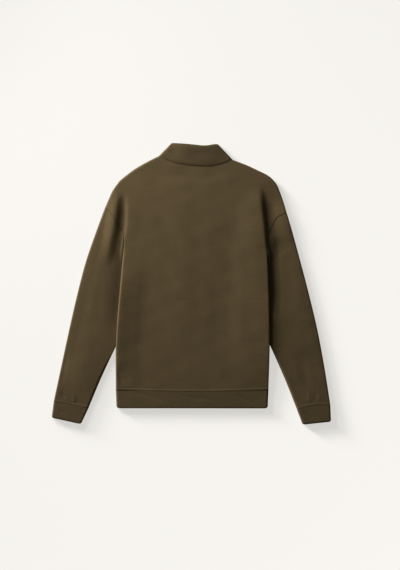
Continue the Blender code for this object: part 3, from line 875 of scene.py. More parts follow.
@dataclass
class ClothWall:
    """A wall of cloth between an outer face and the same face moved inward.

    outer holds places in millimetres by row, column and axis. facing is 1 where the column
    probe faces up and -1 where it faces down. left_out marks cells of the grid that stay
    open, and fold_end rounds the last row as a folded edge.
    """

    name: str
    outer: Array
    wall: float
    probe: int
    facing: int = 1
    closed: bool = False
    left_out: Array | None = None
    fold_end: bool = False
    fold_steps: int = 4

    def _slopes(self) -> Pair:
        """Steps of the outer face along its rows and along its columns.

        Returns:
            Both steps at every vertex, as vectors.
        """
        down = np.gradient(self.outer, axis=0)
        if self.closed:
            ring = np.concatenate((self.outer[:, -1:], self.outer, self.outer[:, :1]), axis=1)
            across = np.gradient(ring, axis=1)[:, 1:-1]
        else:
            across = np.gradient(self.outer, axis=1)
        return down, across

    def normals(self) -> Array:
        """Unit normals that point away from the inner face.

        Returns:
            One vector for each vertex of the outer face.
        """
        down, across = self._slopes()
        normal = np.cross(across, down)
        normal /= np.maximum(np.linalg.norm(normal, axis=2, keepdims=True), 1e-9)
        middle = normal[self.outer.shape[0] // 2, self.probe]
        return normal if middle[2] * self.facing > 0 else -normal

    def cloth_places(self) -> Array:
        """Place on the cloth of each vertex of the outer face, in metres, from its middle.

        Returns:
            A pair of lengths for each vertex.
        """
        ring_steps = np.linalg.norm(np.diff(self.outer, axis=1), axis=2)
        across = np.concatenate((np.zeros((len(self.outer), 1)), np.cumsum(ring_steps, axis=1)), axis=1)
        across -= across[:, self.probe:self.probe + 1]
        row_steps = np.linalg.norm(np.diff(self.outer[:, self.probe], axis=0), axis=1)
        along = np.concatenate(([0.0], np.cumsum(row_steps)))
        along = np.broadcast_to(along[:, None], across.shape)
        return np.stack((across, along, np.zeros(across.shape)), axis=2) * MM

    def build(self, material: Material) -> Thing:
        """Make the wall as an object of one finish."""
        places, faces, marks = self.parts()
        return make_mesh(self.name, places, faces, material, marks)

    def parts(self) -> tuple[Array, Faces, Array]:
        """Places, faces and places on the cloth of the whole wall.

        Returns:
            Its vertices, its faces as their indices, and a pair of lengths for each vertex.
        """
        rows, columns, _ = self.outer.shape
        normal = self.normals()
        outer = self.outer.copy()
        inner = outer - normal * self.wall
        cloth = self.cloth_places()
        rings: list[Array] = []
        if self.fold_end:
            down, _ = self._slopes()
            tangent = down[-1] / np.maximum(np.linalg.norm(down[-1], axis=1, keepdims=True), 1e-9)
            half = self.wall / 2
            centre = outer[-1] - (normal[-1] + tangent) * half
            for step in range(1, self.fold_steps):
                turn = math.pi * step / self.fold_steps
                rings.append(centre + half * (math.cos(turn) * normal[-1] + math.sin(turn) * tangent))
            outer[-1] -= tangent * half
            inner[-1] -= tangent * half
        places = np.concatenate([outer.reshape(-1, 3), inner.reshape(-1, 3), *rings])
        marks = np.concatenate([cloth.reshape(-1, 3), cloth.reshape(-1, 3), *[cloth[-1]] * len(rings)])
        return places, self._faces(rows, columns, len(rings)), marks

    def _faces(self, rows: int, columns: int, rings: int) -> Faces:
        """Faces of both sides and of every rim between them.

        Args:
            rows: Rows of vertices on one side.
            columns: Vertices in a row.
            rings: Rings of vertices on the folded rim, between both sides.

        Returns:
            The faces.
        """
        count = rows * columns
        wrap = columns if self.closed else columns - 1
        kept = np.ones((rows - 1, wrap), dtype=bool)
        if self.left_out is not None:
            kept &= ~self.left_out
        row, column = np.nonzero(kept)
        after = (column + 1) % columns
        here, below = row * columns, (row + 1) * columns
        cells = np.stack((here + column, here + after, below + after, below + column), axis=1)
        faces = [tuple(cell) for cell in cells.tolist()]
        edges = {(a, b) for cell in faces for a, b in zip(cell, (*cell[1:], cell[0]))}
        open_edges = [edge for edge in edges if (edge[1], edge[0]) not in edges]
        inner = [tuple(index + count for index in reversed(cell)) for cell in faces]
        last = (rows - 1) * columns

        def chain(end: int) -> tuple[int, ...]:
            """Vertices from one side to the other, round the folded rim."""
            return end, *(2 * count + ring * columns + end - last for ring in range(rings)), end + count

        rims: Faces = []
        for a, b in open_edges:
            if rings and a >= last and b >= last:
                near, far = chain(a), chain(b)
                rims += [(near[i + 1], far[i + 1], far[i], near[i]) for i in range(rings + 1)]
            else:
                rims.append((a + count, b + count, b, a))
        if rings and not self.closed:
            rims += [chain(last + end) for end in self._open_ends(kept, columns)]
        return faces + inner + rims

    @staticmethod
    def _open_ends(kept: Array, columns: int) -> list[int]:
        """Columns where the folded end starts or stops."""
        row = np.concatenate(([False], kept[-1], [False]))
        return [index for index in range(columns) if row[index] != row[index + 1]]


def make_mesh(
    name: str,
    places: Array,
    faces: Faces,
    material: Material,
    cloth: Array | None = None,
    sharp: float = CLOTH_SHARP,
) -> Thing:
    """Make a mesh object from places in millimetres.

    Args:
        name: The piece's name.
        places: One row of three numbers for each vertex.
        faces: The vertices of each face.
        material: The finish of the whole piece.
        cloth: Places on the cloth, in metres, for a pattern that follows it.
        sharp: Angle in degrees above which an edge stays sharp.

    Returns:
        The new object, linked to the scene.
    """
    mesh = bpy.data.meshes.new(name)
    mesh.from_pydata((places * MM).tolist(), [], faces)
    mesh.update()
    if cloth is not None:
        layer = mesh.attributes.new("cloth", "FLOAT_VECTOR", "POINT")
        layer.data.foreach_set("vector", np.ascontiguousarray(cloth, dtype=np.float32).ravel())
    tidy = bmesh.new()
    tidy.from_mesh(mesh)
    bmesh.ops.delete(tidy, geom=[vert for vert in tidy.verts if not vert.link_faces], context="VERTS")
    bmesh.ops.recalc_face_normals(tidy, faces=tidy.faces)
    tidy.to_mesh(mesh)
    tidy.free()
    mesh.materials.append(material)
    mesh.shade_smooth()
    mesh.set_sharp_from_angle(angle=math.radians(sharp))
    thing = bpy.data.objects.new(name, mesh)
    bpy.context.scene.collection.objects.link(thing)
    return thing


def join(parts: list[tuple[Array, Faces]]) -> tuple[Array, Faces]:
    """Join the places and faces of several parts into those of one mesh.

    Args:
        parts: Places and faces of each.

    Returns:
        All the places and all the faces.
    """
    first = 0
    joined: Faces = []
    for places, faces in parts:
        joined += [tuple(first + index for index in face) for face in faces]
        first += len(places)
    return np.concatenate([places for places, _ in parts]), joined


def ring_faces(first: int, count: int, rings: int, reach: int) -> Faces:
    """Faces from rings of vertices to the ones that stand a reach further on.

    Args:
        first: The first ring's first vertex.
        count: Vertices in a ring.
        rings: How many rings.
        reach: How far on each one's partner stands.

    Returns:
        The faces.
    """
    starts = range(first, first + rings * count, count)
    pairs = [(start + index, start + (index + 1) % count) for start in starts for index in range(count)]
    return [(a, b, b + reach, a + reach) for a, b in pairs]


@dataclass
class Crossing:
    """Columns across one face of a flattened tube, with a roll at each edge.

    near and far are the widths of the rolls as shares of each row's width.
    """

    near: Array
    far: Array
    middle: int
    steps: int = 8

    def shares(self) -> Array:
        """Share of the way across, by row and column.

        Returns:
            An array of shares, one row for each row of the face.
        """
        run, _ = quarter(self.steps)
        inside = np.linspace(0.0, 1.0, self.middle + 1)[1:-1]
        near, far = self.near[:, None], self.far[:, None]
        return np.concatenate((
            near * run[None],
            near + (1.0 - near - far) * inside[None],
            1.0 - far * run[None, ::-1],
        ), axis=1)

    def rises(self) -> Pair:
        """Rise out of the near and out of the far roll, by column.

        Returns:
            Two arrays from 0 at an edge to 1 where its roll ends.
        """
        _, rise = quarter(self.steps)
        flat = np.ones(self.middle + self.steps)
        return np.concatenate((rise, flat)), np.concatenate((flat, rise[::-1]))

    def height(self, level: Array, near_edge: Array, far_edge: Array) -> Array:
        """Height of the face, rolled from its level to the heights of its two edges.

        Args:
            level: Height where nothing rolls away, by row and column.
            near_edge: Height of the near edge by row, or by row and column.
            far_edge: Height of the far edge, given in the same way.

        Returns:
            The heights, by row and column.
        """
        total = level
        for edge, rise in zip((near_edge, far_edge), self.rises()):
            edge = np.asarray(edge)
            total = total + ((edge if edge.ndim == 2 else edge[:, None]) - level) * (1.0 - rise[None])
        return total


def ring_of(up: Array, down: Array) -> Array:
    """Join the upper and the lower face of a tube, near edge first, into one closed ring."""
    return np.concatenate((up, down[:, ::-1][:, 1:-1]), axis=1)


@dataclass
class SheetFacts:
    """What the frame needs to know of a cloth: its cut and what it lies on."""

    flat: Spot
    rests_on: tuple[str, ...]
    area: float | None = None
    held: Held = Held.LAID


@dataclass
class Garment:
    """What every sub-assembly shares: the body it rides on."""

    body: str = "garment"

    def dress(self, piece: Thing, slot: Slot, *nodes: str, body: str | None = None) -> None:
        """Tell the frame which body a piece rides on and the nodes it stands for.

        Args:
            piece: The object.
            slot: The record's material slot. It is not used.
            nodes: The record's nodes that it takes the place of.
            body: The body that it moves with.
        """
        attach(piece, body or self.body)
        if nodes:
            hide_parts(*nodes)
        LOG.info("%s: %d faces", piece.name, len(piece.data.polygons))

    def lay(self, piece: Thing, facts: SheetFacts) -> None:
        """Take a piece and the facts of its cloth, and do nothing with them."""


@dataclass
class Body(Garment):
    """The back and the front panel, which share one outline."""

    laid: float = 11.0
    near_hem: float = 10.4
    roll: float = 2.4
    left_roll: float = 4.2
    curl: float = 4.0
    shoulder_roll: float = 4.0
    neck_roll: float = 5.0
    neck_curl: float = 3.0
    widest_slant: float = 1.8
    rise_at_hem: float = 60.0
    columns: int = 138
    swell: Swell = Swell(0.16)
    side_opens: float = -195.0
    sleeve_leaves: float = -174.0
    rows_below: tuple[int, int, int] = (4, 2, 12)
    rows_above: tuple[int, int] = (5, 6)
    shoulder: float = 290.0
    neck_drop: float = 91.5
    step: float = 3.0
    front_steps: int = 6
    beside_slot: int = 52
    in_slot: int = 4
    slot_ridge: float = 0.55
    flat: Spot = (0.520, 0.670)
    back_area: float = 0.300
    front_area: float = 0.270

    def _edge(self, half: Half) -> Array:
        """Heights along one edge of the body, a whole row apart.

        Args:
            half: The side of the garment.

        Returns:
            The heights, from the hem seam to the neck.
        """
        marks = [HEM_SEAM, self.side_opens, self.sleeve_leaves] + [stitch[0] for stitch in half.armhole]
        marks += [self.shoulder, half.shoulder.points[-1][0]]
        counts = [*self.rows_below, *[1] * (len(half.armhole) - 1), *self.rows_above]
        heights = [marks[0]]
        for low, high, count in zip(marks, marks[1:], counts):
            heights += [lerp(low, high, (step + 1) / count) for step in range(count)]
        return np.array(heights, dtype=float)

    def fine_rows(self) -> Array:
        """Row numbers, close together at the hem and no further apart than the step.

        Returns:
            The numbers, in order.
        """
        heights = self._edge(LEFT)
        last = len(heights) - 1
        values = list(spread((0.0, 0.42, 1.0), (0.03, 0.1)))
        for row in range(1, last):
            count = max(2, math.ceil((heights[row + 1] - heights[row]) / self.step))
            values += list(np.linspace(row, row + 1, count + 1)[1:])
        extra = 1.0 - np.geomspace(0.6, 0.02, 8)
        return np.unique(np.concatenate((values, last - 1 + extra)))

    def ends(self, row: Array) -> Pair:
        """Heights of each row at the left and the right edge.

        Args:
            row: Row numbers, whole or not.

        Returns:
            Heights on the left and heights on the right.
        """
        left, right = self._edge(LEFT), self._edge(RIGHT)
        index = np.arange(len(left))
        return np.interp(row, index, left), np.interp(row, index, right)

    def neck(self, face: Face, share: Array) -> Pair:
        """Place on the neck seam: shallow at the back, a half ellipse at the front.

        Args:
            face: The upper face or the one underneath.
            share: Shares of the way from left to right.

        Returns:
            Places across and places up.
        """
        (left_y, left_x), (right_y, right_x) = LEFT.shoulder.points[-1], RIGHT.shoulder.points[-1]
        if face is Face.UP:
            return lerp(left_x, right_x, share), lerp(left_y, right_y, share) - BACK_NECK.at(share)
        run = 0.5 - 0.5 * np.cos(math.pi * share)
        drop = self.neck_drop * np.sin(math.pi * share)
        return lerp(left_x, right_x, run), lerp(left_y, right_y, run) - drop

    def place(self, face: Face, share: Array, row: Array) -> Pair:
        """Place of each share of each row, seen from above.

        Args:
            face: The upper face or the one underneath.
            share: Shares of the way from left to right.
            row: Row numbers, whole or not.

        Returns:
            Places across and places up.
        """
        left_y, right_y = (edge[:, None] for edge in self.ends(row))
        last = len(self._edge(LEFT)) - 1
        start = last - sum(self.rows_above)
        bend = np.clip((row - start) / (last - start), 0.0, 1.0)[:, None]
        neck_x, neck_y = self.neck(face, share)
        top_left_y, top_left_x = LEFT.shoulder.points[-1]
        top_right_y, top_right_x = RIGHT.shoulder.points[-1]
        x = lerp(LEFT.edge_x(left_y), RIGHT.edge_x(right_y), share)
        y = lerp(left_y, right_y, share)
        x = x + bend * (neck_x - lerp(top_left_x, top_right_x, share))
        y = y + bend * (neck_y - lerp(top_left_y, top_right_y, share))
        sag = HEM_SAG * np.sin(math.pi * share) * (1.0 - np.minimum(row / self.rows_below[0], 1.0))[:, None]
        return x, y - sag

    def _rolls(self, face: Face, row: Array) -> Pair:
        """Widths of the rolls at both edges, as shares of each row's width.

        Args:
            face: The upper face or the one underneath.
            row: Row numbers, whole or not.

        Returns:
            Widths on the left and widths on the right.
        """
        left_y, right_y = self.ends(row)
        across = RIGHT.edge_x(right_y) - LEFT.edge_x(left_y)
        last = len(self._edge(LEFT)) - 1
        widths = []
        for half, y in ((LEFT, left_y), (RIGHT, right_y)):
            plain = (self.left_roll if half is LEFT else self.roll) if face is Face.UP else self.curl
            shoulder = self.shoulder_roll if face is Face.UP else self.curl
            slope = np.abs(half.edge_x(y) - half.edge_x(y - 1.0))
            slant = np.minimum(np.hypot(1.0, slope), self.widest_slant)
            slant = np.where(y > half.overarm + 1.0, slant, 1.0)
            width = lerp(plain, shoulder, ease(y, half.corner, half.overarm)) * slant
            near_neck = ease(row, last - 3, last)
            at_neck = self.neck_roll if face is Face.UP else self.neck_curl
            widths.append(lerp(width, at_neck, near_neck) / across)
        return widths[0], widths[1]

    def level(self, x: Array, y: Array) -> Array:
        """Height of the back where nothing rolls away: its rims, folds and seams.

        Args:
            x: Places across.
            y: Places up the garment.

        Returns:
            Heights, place by place.
        """
        level = lerp(self.near_hem, self.laid, ease(y, HEM_SEAM, HEM_SEAM + self.rise_at_hem))
        for half in HALVES:
            inward = -half.outward(x, y)
            level = level + half.rim_height * half.rim.at(inward) * half.rim_strength.at(y)
            level = level + relief_of(half.body_creases, x, y)
        level = level + relief_of(BACK_CREASES, x, y)
        return soft_floor(level + self.swell.relief(x, y), LEAST)

    def back_edge(self, half: Half, level: Array, y: Array) -> Array:
        """Height of the back's edge: low at a seam, on the sleeve where one is tucked in.

        Args:
            half: The side of the garment.
            level: Heights that the back has where nothing rolls away.
            y: Places up the garment.

        Returns:
            Heights, place by place.
        """
        low = MIDDLE + SEAM / 2
        tucked = lerp(low, TUCKED + SEAM, ease(y, self.side_opens, self.sleeve_leaves))
        below = lerp(level, tucked, half.below_corner(y))
        seam = lerp(low, level, arc((half.overarm - y) / self.roll))
        return np.where(y >= half.overarm, low, np.where(y > half.corner, seam, below))

    def front_edge(self, half: Half, y: Array) -> Array:
        """Height of the front's edge: curled up at a seam, flat under the sleeve.

        Args:
            half: The side of the garment.
            y: Places up the garment.

        Returns:
            Heights, place by place.
        """
        curl = MIDDLE - SEAM / 2
        below = curl * (1.0 - ease(y, self.side_opens, self.sleeve_leaves))
        seam = curl * (1.0 - arc((half.overarm - y) / self.curl))
        return np.where(y >= half.overarm, curl, np.where(y > half.corner, seam, below))

    def seams(self, x: Array, y: Array, share: Array) -> Array:
        """Relief of the seams round the back: a ridge at the hem and grooves at the armholes.

        Args:
            x: Places across.
            y: Places up the garment.
            share: Shares of the way from left to right.

        Returns:
            Heights to add, one for each place.
        """
        hem_y = HEM_SEAM - HEM_SAG * np.sin(math.pi * np.clip(share, 0.0, 1.0))
        relief = hem_ridge(y - hem_y)
        for half in HALVES:
            away = half.sign * (half.seam_curve().at(np.clip(y, half.corner, half.overarm)) - x)
            near = ease(y, half.corner - 4.0, half.corner + 4.0) * ease(y, half.overarm + 8.0, half.overarm)
            relief = relief - half.seam_depths[0] * bump_at(away, 0.0, GROOVE) * near
        return relief

    def make_back(self, material: Material) -> Thing:
        """Make the back panel.

        Args:
            material: Its finish.

        Returns:
            The object.
        """
        row = self.fine_rows()
        near, far = self._rolls(Face.UP, row)
        crossing = Crossing(near, far, self.columns)
        share = crossing.shares()
        x, y = self.place(Face.UP, share, row)
        level = self.level(x, y) + self.seams(x, y, share)
        left_y, right_y = self.ends(row)
        z = crossing.height(
            level,
            self.back_edge(LEFT, level, left_y[:, None]),
            self.back_edge(RIGHT, level, right_y[:, None]),
        )
        wall = ClothWall("back_panel", np.dstack((x, y, z)), CLOTH, share.shape[1] // 2)
        piece = wall.build(material)
        self.dress(piece, Slot.JERSEY, "back")
        below = ("front_panel", "left_sleeve", "right_sleeve")
        self.lay(piece, SheetFacts(self.flat, below, self.back_area))
        return piece

    def _slot_shares(self, row: Array, target: float) -> Array:
        """Share of each row of the front at which it reaches a distance across.

        Args:
            row: Row numbers.
            target: The place across.

        Returns:
            A share for each row.
        """
        fine = np.linspace(*SLOT_SEARCH)
        x, _ = self.place(Face.DOWN, np.broadcast_to(fine, (len(row), len(fine))), row)
        return np.array([np.interp(target, line, fine) for line in x])

    def make_front(self, material: Material) -> Thing:
        """Make the front panel, with its slot for the zip.

        Args:
            material: Its finish.

        Returns:
            The object.
        """
        row = self.fine_rows()
        slot_low = self._slot_shares(row, ZIP_X - ZIP_SLOT / 2)
        _, low_y = self.place(Face.DOWN, slot_low[:, None], row)
        start = float(np.interp(ZIP_BOTTOM, low_y[:, 0], row))
        row = np.unique(np.append(row[np.abs(row - start) > 0.05], start))
        slot_low = self._slot_shares(row, ZIP_X - ZIP_SLOT / 2)
        slot_high = self._slot_shares(row, ZIP_X + ZIP_SLOT / 2)
        near, far = self._rolls(Face.DOWN, row)
        steps, inside = self.front_steps, self.in_slot
        run, _ = quarter(steps)
        shape = np.linspace(0.0, 1.0, self.beside_slot + 1)[1:-1] ** 0.9
        shape = np.unique(np.append(shape, (0.5 + 0.5 * shape[-1], 0.994)))
        near, far, low, high = (values[:, None] for values in (near, far, slot_low, slot_high))
        share = np.concatenate((
            near * run[None],
            near + (low - near) * shape[None],
            lerp(low, high, np.linspace(0.0, 1.0, inside + 1)[None]),
            (1.0 - far) - (1.0 - far - high) * shape[None, ::-1],
            1.0 - far * run[None, ::-1],
        ), axis=1)
        x, y = self.place(Face.DOWN, share, row)
        level = relief_of(FRONT_CREASES, x, y)
        away = np.abs(x - ZIP_X) - ZIP_SLOT / 2
        stitched = bump_at(away, STITCH_AWAY, 0.9)
        level = level + self.slot_ridge * np.where(y > ZIP_BOTTOM - STITCH_AWAY, stitched, 0.0)
        crossing = Crossing(near[:, 0], far[:, 0], share.shape[1] - 2 * steps - 1, steps)
        left_y, right_y = self.ends(row)
        z = crossing.height(level, self.front_edge(LEFT, left_y), self.front_edge(RIGHT, right_y))
        left_out = np.zeros((len(row) - 1, share.shape[1] - 1), dtype=bool)
        first = steps + 1 + len(shape)
        left_out[np.searchsorted(row, start):, first:first + inside] = True
        wall = ClothWall(
            "front_panel", np.dstack((x, y, z)), CLOTH, share.shape[1] // 3, -1, left_out=left_out
        )
        piece = wall.build(material)
        self.dress(piece, Slot.JERSEY, "front")
        self.lay(piece, SheetFacts(self.flat, (), self.front_area))
        return piece


@dataclass
class Sleeve(Garment):
    """A flattened tube whose inner wedge is tucked between the front and the back."""

    half: Half = LEFT
    spread: float = 1.35
    mouth_fade: float = 0.25
    mouth_blend: float = 0.16
    columns: int = 62
    roll: float = 3.8
    inner_roll: float = 6.0
    curl: float = 4.0
    at_cuff: float = 10.4
    cuff_blend: float = 0.86
    beside_body: Spot = (90.0, 50.0)
    tucked_roll: float = 1.65
    tuck_low: float = 1.8
    rows: int = 190
    near_cuff: float = 0.965
    flat: Spot = (0.42, 0.61)
    area: float = 0.16
    swell: Swell = Swell(0.16)

    def sides(self, along: Array) -> Pair:
        """Places of the overarm edge and the underarm edge.

        Args:
            along: Shares of the way from the armhole to the cuff.

        Returns:
            Places across and up, as one array for each edge.
        """
        edges = []
        for line in (self.half.outer, self.half.inner):
            y = lerp(line.points[0][0], line.points[-1][0], along)
            edges.append(np.stack((line.at(y), y)))
        return edges[0], edges[1]

    def mouth(self, share: Array) -> Pair:
        """Place on the armhole seam, which runs on, hidden, to the underarm.

        Args:
            share: Shares of the way from overarm to underarm.

        Returns:
            Places across and places up.
        """
        half = self.half
        tuck_y = half.corner - TUCK_RUN
        tuck_x = float(half.side.at(tuck_y)) + half.sign * 2 * SEAM
        seam = Curve(tuple((stitch[2], stitch[0]) for stitch in half.armhole))
        seam_y = seam.at(share)
        gap = SEAM * (1.0 + ease(share, 0.1, 0.0))
        seam_x = half.seam_curve().at(seam_y) + half.sign * 0.8 * gap
        hidden = (0.5, 0.6, 1.0)
        corner_x, corner_y = half.armhole[0][1] + half.sign * 0.8 * SEAM, half.corner - 0.6 * SEAM
        hidden_x = np.interp(share, hidden, (corner_x, tuck_x, half.underarm[1]))
        hidden_y = np.interp(share, hidden, (corner_y, tuck_y, half.underarm[0]))
        shown = share <= 0.5
        return np.where(shown, seam_x, hidden_x), np.where(shown, seam_y - 0.6 * gap, hidden_y)

    def place(self, share: Array, along: Array) -> Pair:
        """Place of each share of each row, seen from above.

        Args:
            share: Shares of the way from overarm to underarm.
            along: Shares of the way from the armhole to the cuff.

        Returns:
            Places across and places up.
        """
        plain = lerp(*self.sides(along[:, None]), share)
        plain_mouth = lerp(*self.sides(np.zeros((1, 1))), share)
        fade = (1.0 - ease(along, 0.0, self.mouth_fade))[:, None]
        x, y = plain + fade * (np.stack(self.mouth(share)) - plain_mouth)
        return x, y + self.half.cuff.bow * np.sin(math.pi * share) * ease(along, 0.7, 1.0)[:, None]

    def tuck(self, x: Array, y: Array, start: float, end: float) -> Array:
        """1 where the sleeve lies under the side of the body, fading to 0 outside it."""
        return ease(self.half.outward(x, y), start, end) * self.half.below_corner(y)

    def upper_level(self, x: Array, y: Array, share: Array, along: Array, back: "Body") -> Array:
        """Height of the upper layer: its crown, the fold beside the body and its creases.

        Args:
            x: Places across.
            y: Places up the garment.
            share: Shares of the way from overarm to underarm.
            along: Shares of the way from the armhole to the cuff.
            back: The body, whose side it slips under.

        Returns:
            Heights, place by place.
        """
        half = self.half
        own = half.crown.at(share) + self.swell.relief(x, y)
        own = lerp(own, self.at_cuff, ease(along, self.cuff_blend, 1.0)[:, None])
        beside = half.shadow.at(half.outward(x, y))
        near = ease(half.outward(x, y), *self.beside_body)
        for start, end in half.shadow_spans:
            near = near * ease(y, half.corner + start, half.corner + end)
        own = lerp(own, np.minimum(beside, own + 0.6), near)
        body = back.level(x, y)
        blend = ease(along, 0.0, self.mouth_blend)[:, None]
        level = lerp(body, own, blend) + relief_of(half.body_creases, x, y) * blend
        level = level + relief_of(half.sleeve_creases, x, y) * ease(along, 0.0, 0.05)[:, None]
        level = lerp(level, TUCKED, self.tuck(x, y, 1.0, -9.0))
        return soft_floor(level, LEAST)

    def seams(self, x: Array, y: Array, share: Array) -> Array:
        """Relief of the seams at the sleeve's two ends.

        Args:
            x: Places across.
            y: Places up the garment.
            share: Shares of the way from overarm to underarm.

        Returns:
            Heights to add, one for each place.
        """
        half = self.half
        away = half.sign * (half.edge_x(np.clip(y, half.corner - 40.0, half.overarm)) - x)
        near = ease(y, half.corner - 32.0, half.corner - 16.0) * ease(y, half.overarm + 8.0, half.overarm)
        groove = -half.seam_depths[1] * bump_at(away, 0.0, GROOVE) * near
        end_x, end_y = lerp(*self.sides(np.ones((1, 1))), share)
        end_y = end_y + half.cuff.bow * np.sin(math.pi * share)
        return groove + hem_ridge(np.hypot(x - end_x, y - end_y))

    def make(self, material: Material, back: "Body") -> Thing:
        """Make the sleeve.

        Args:
            material: The jersey.
            back: The body, whose surface the sleeve meets at the armhole.

        Returns:
            The sleeve.
        """
        even = np.linspace(0.0, 1.0, self.rows) ** self.spread
        close = 1.0 - np.geomspace(0.03, 0.001, 12)
        start = np.linspace(0.0, 0.02, 6)
        along = np.unique(np.concatenate((even[even < self.near_cuff], close, [1.0], start)))
        outer, inner = self.sides(along)
        across = np.hypot(*(outer - inner))
        tucked = self.tuck(*inner, 30.0, 6.0)
        faces = []
        for face in Face:
            up = face is Face.UP
            near = (self.roll if up else self.curl) / across
            far = lerp(self.inner_roll if up else self.curl, self.tucked_roll, tucked) / across
            crossing = Crossing(near, far, self.columns if up else self.columns // 2, 8 if up else 5)
            share = crossing.shares()
            x, y = self.place(share, along)
            if up:
                level = self.upper_level(x, y, share, along, back) + self.seams(x, y, share)
                level = np.maximum(level, LEAST - 0.2)
            else:
                level = self.tuck_low * self.tuck(x, y, 25.0, 10.0)
            inner_edge = lerp(MIDDLE, (self.tuck_low + TUCKED) / 2, tucked)
            z = crossing.height(level, np.full(len(along), MIDDLE), inner_edge)
            faces.append(np.dstack((x, y, z)))
        name, probe = f"{self.half.name}_sleeve", faces[0].shape[1] // 2
        piece = ClothWall(name, ring_of(*faces), CLOTH, probe, closed=True).build(material)
        self.dress(piece, Slot.JERSEY, f"sleeve_{self.half.name}")
        self.lay(piece, SheetFacts(self.flat, ("front_panel",), self.area))
        return piece


@dataclass
class Band(Garment):
    """A flattened ring of doubled cloth between a seam and a folded edge."""

    name: str = "hem_ring"
    node: str = "hem_band"
    seam: tuple[Spot, Spot] = ((-211.5, HEM_SEAM), (215.5, HEM_SEAM))
    fold: tuple[Spot, Spot] = ((-209.5, -347.0), (213.5, -347.5))
    bow: float = -HEM_SAG
    corner: float = 7.0
    dip_run: float = 6.0
    laid: float = 10.4
    roll: float = 5.0
    curl: float = 3.0
    columns: int = 138
    flat: Spot = (0.862, 0.053)
    creases: tuple[Crease, ...] = ()
    swell: Swell = Swell(0.10)
    rests_on: tuple[str, ...] = ()

    def down_shares(self) -> Array:
        """Shares of the way from the seam to the fold, close together at both ends.

        Returns:
            The shares, in order.
        """
        height = math.dist(self.seam[0], self.fold[0])
        marks = (0.0, 5.0 / height, 1.0 - 9.0 / height, 1.0)
        return spread(marks, (0.7 / height, 2.6 / height, 0.9 / height))

    def place(self, share: Array, down: Array) -> Pair:
        """Place of each share of each row, seen from above.

        Args:
            share: Shares of the way across, from the seam's first end.
            down: Shares of the way from the seam to the fold.

        Returns:
            Places across and places up.
        """
        (sx0, sy0), (sx1, sy1) = self.seam
        (fx0, fy0), (fx1, fy1) = self.fold
        height, width = math.dist(self.seam[0], self.fold[0]), math.dist(*self.fold)
        inset = (self.corner * (1.0 - arc(height * (1.0 - down) / self.corner)) / width)[:, None]
        down = down[:, None]
        share = lerp(inset, 1.0 - inset, share)
        bow = self.bow * np.sin(math.pi * share) * (1.0 - down)
        x = lerp(lerp(sx0, sx1, share), lerp(fx0, fx1, share), down)
        y = lerp(lerp(sy0, sy1, share), lerp(fy0, fy1, share), down)
        return x, y + bow - SEAM * (1.0 - down)

    def make(self, material: Material) -> Thing:
        """Make the band.

        Args:
            material: Its finish.

        Returns:
            The object.
        """
        down = self.down_shares()
        width = math.dist(*self.seam)
        height = math.dist(self.seam[0], self.fold[0])
        faces = []
        for face in Face:
            up = face is Face.UP
            roll = np.full(len(down), (self.roll if up else self.curl) / width)
            crossing = Crossing(roll, roll, self.columns if up else self.columns // 2, 6)
            x, y = self.place(crossing.shares(), down)
            level = np.zeros(x.shape)
            if up:
                level = self.laid + self.swell.relief(x, y)
                level = level + relief_of(self.creases, x, y)
                below = (down * height)[:, None]
                level = level - FOLD_DIP * ease(below, height - self.dip_run, height) ** 2
            middle = np.full(len(down), MIDDLE)
            faces.append(np.dstack((x, y, crossing.height(level, middle, middle))))
        outer, probe = ring_of(*faces), faces[0].shape[1] // 2
        piece = ClothWall(self.name, outer, BAND, probe, closed=True, fold_end=True).build(material)
        self.dress(piece, Slot.BAND, self.node)
        self.lay(piece, SheetFacts(self.flat, self.rests_on, None, Held.FOLDED))
        return piece


def cuff_of(half: Half) -> Band:
    """The cuff of one sleeve.

    Args:
        half: The side of the garment.

    Returns:
        The cuff, not made yet.
    """
    plan = half.cuff
    creases = {
        "left": (Crease(((-374, -352), (-346, -362)), -0.4, 7, 8, (10, 12)),),
        "right": (
            Crease(((330, -362), (345, -372), (352, -386)), -0.2, 8, 9, (10, 8)),
            Crease(((310, -440), (420, -330)), 1.2, 90, 90, (1, 1)),
        ),
    }
    return Band(
        name=f"{half.name}_cuff",
        node=f"cuff_{half.name}",
        seam=(plan.seam_outer, plan.seam_inner),
        fold=(plan.end_outer, plan.end_inner),
        bow=plan.bow,
        corner=5.0,
        columns=48,
        flat=(0.172, 0.048),
        creases=creases[half.name],
    )


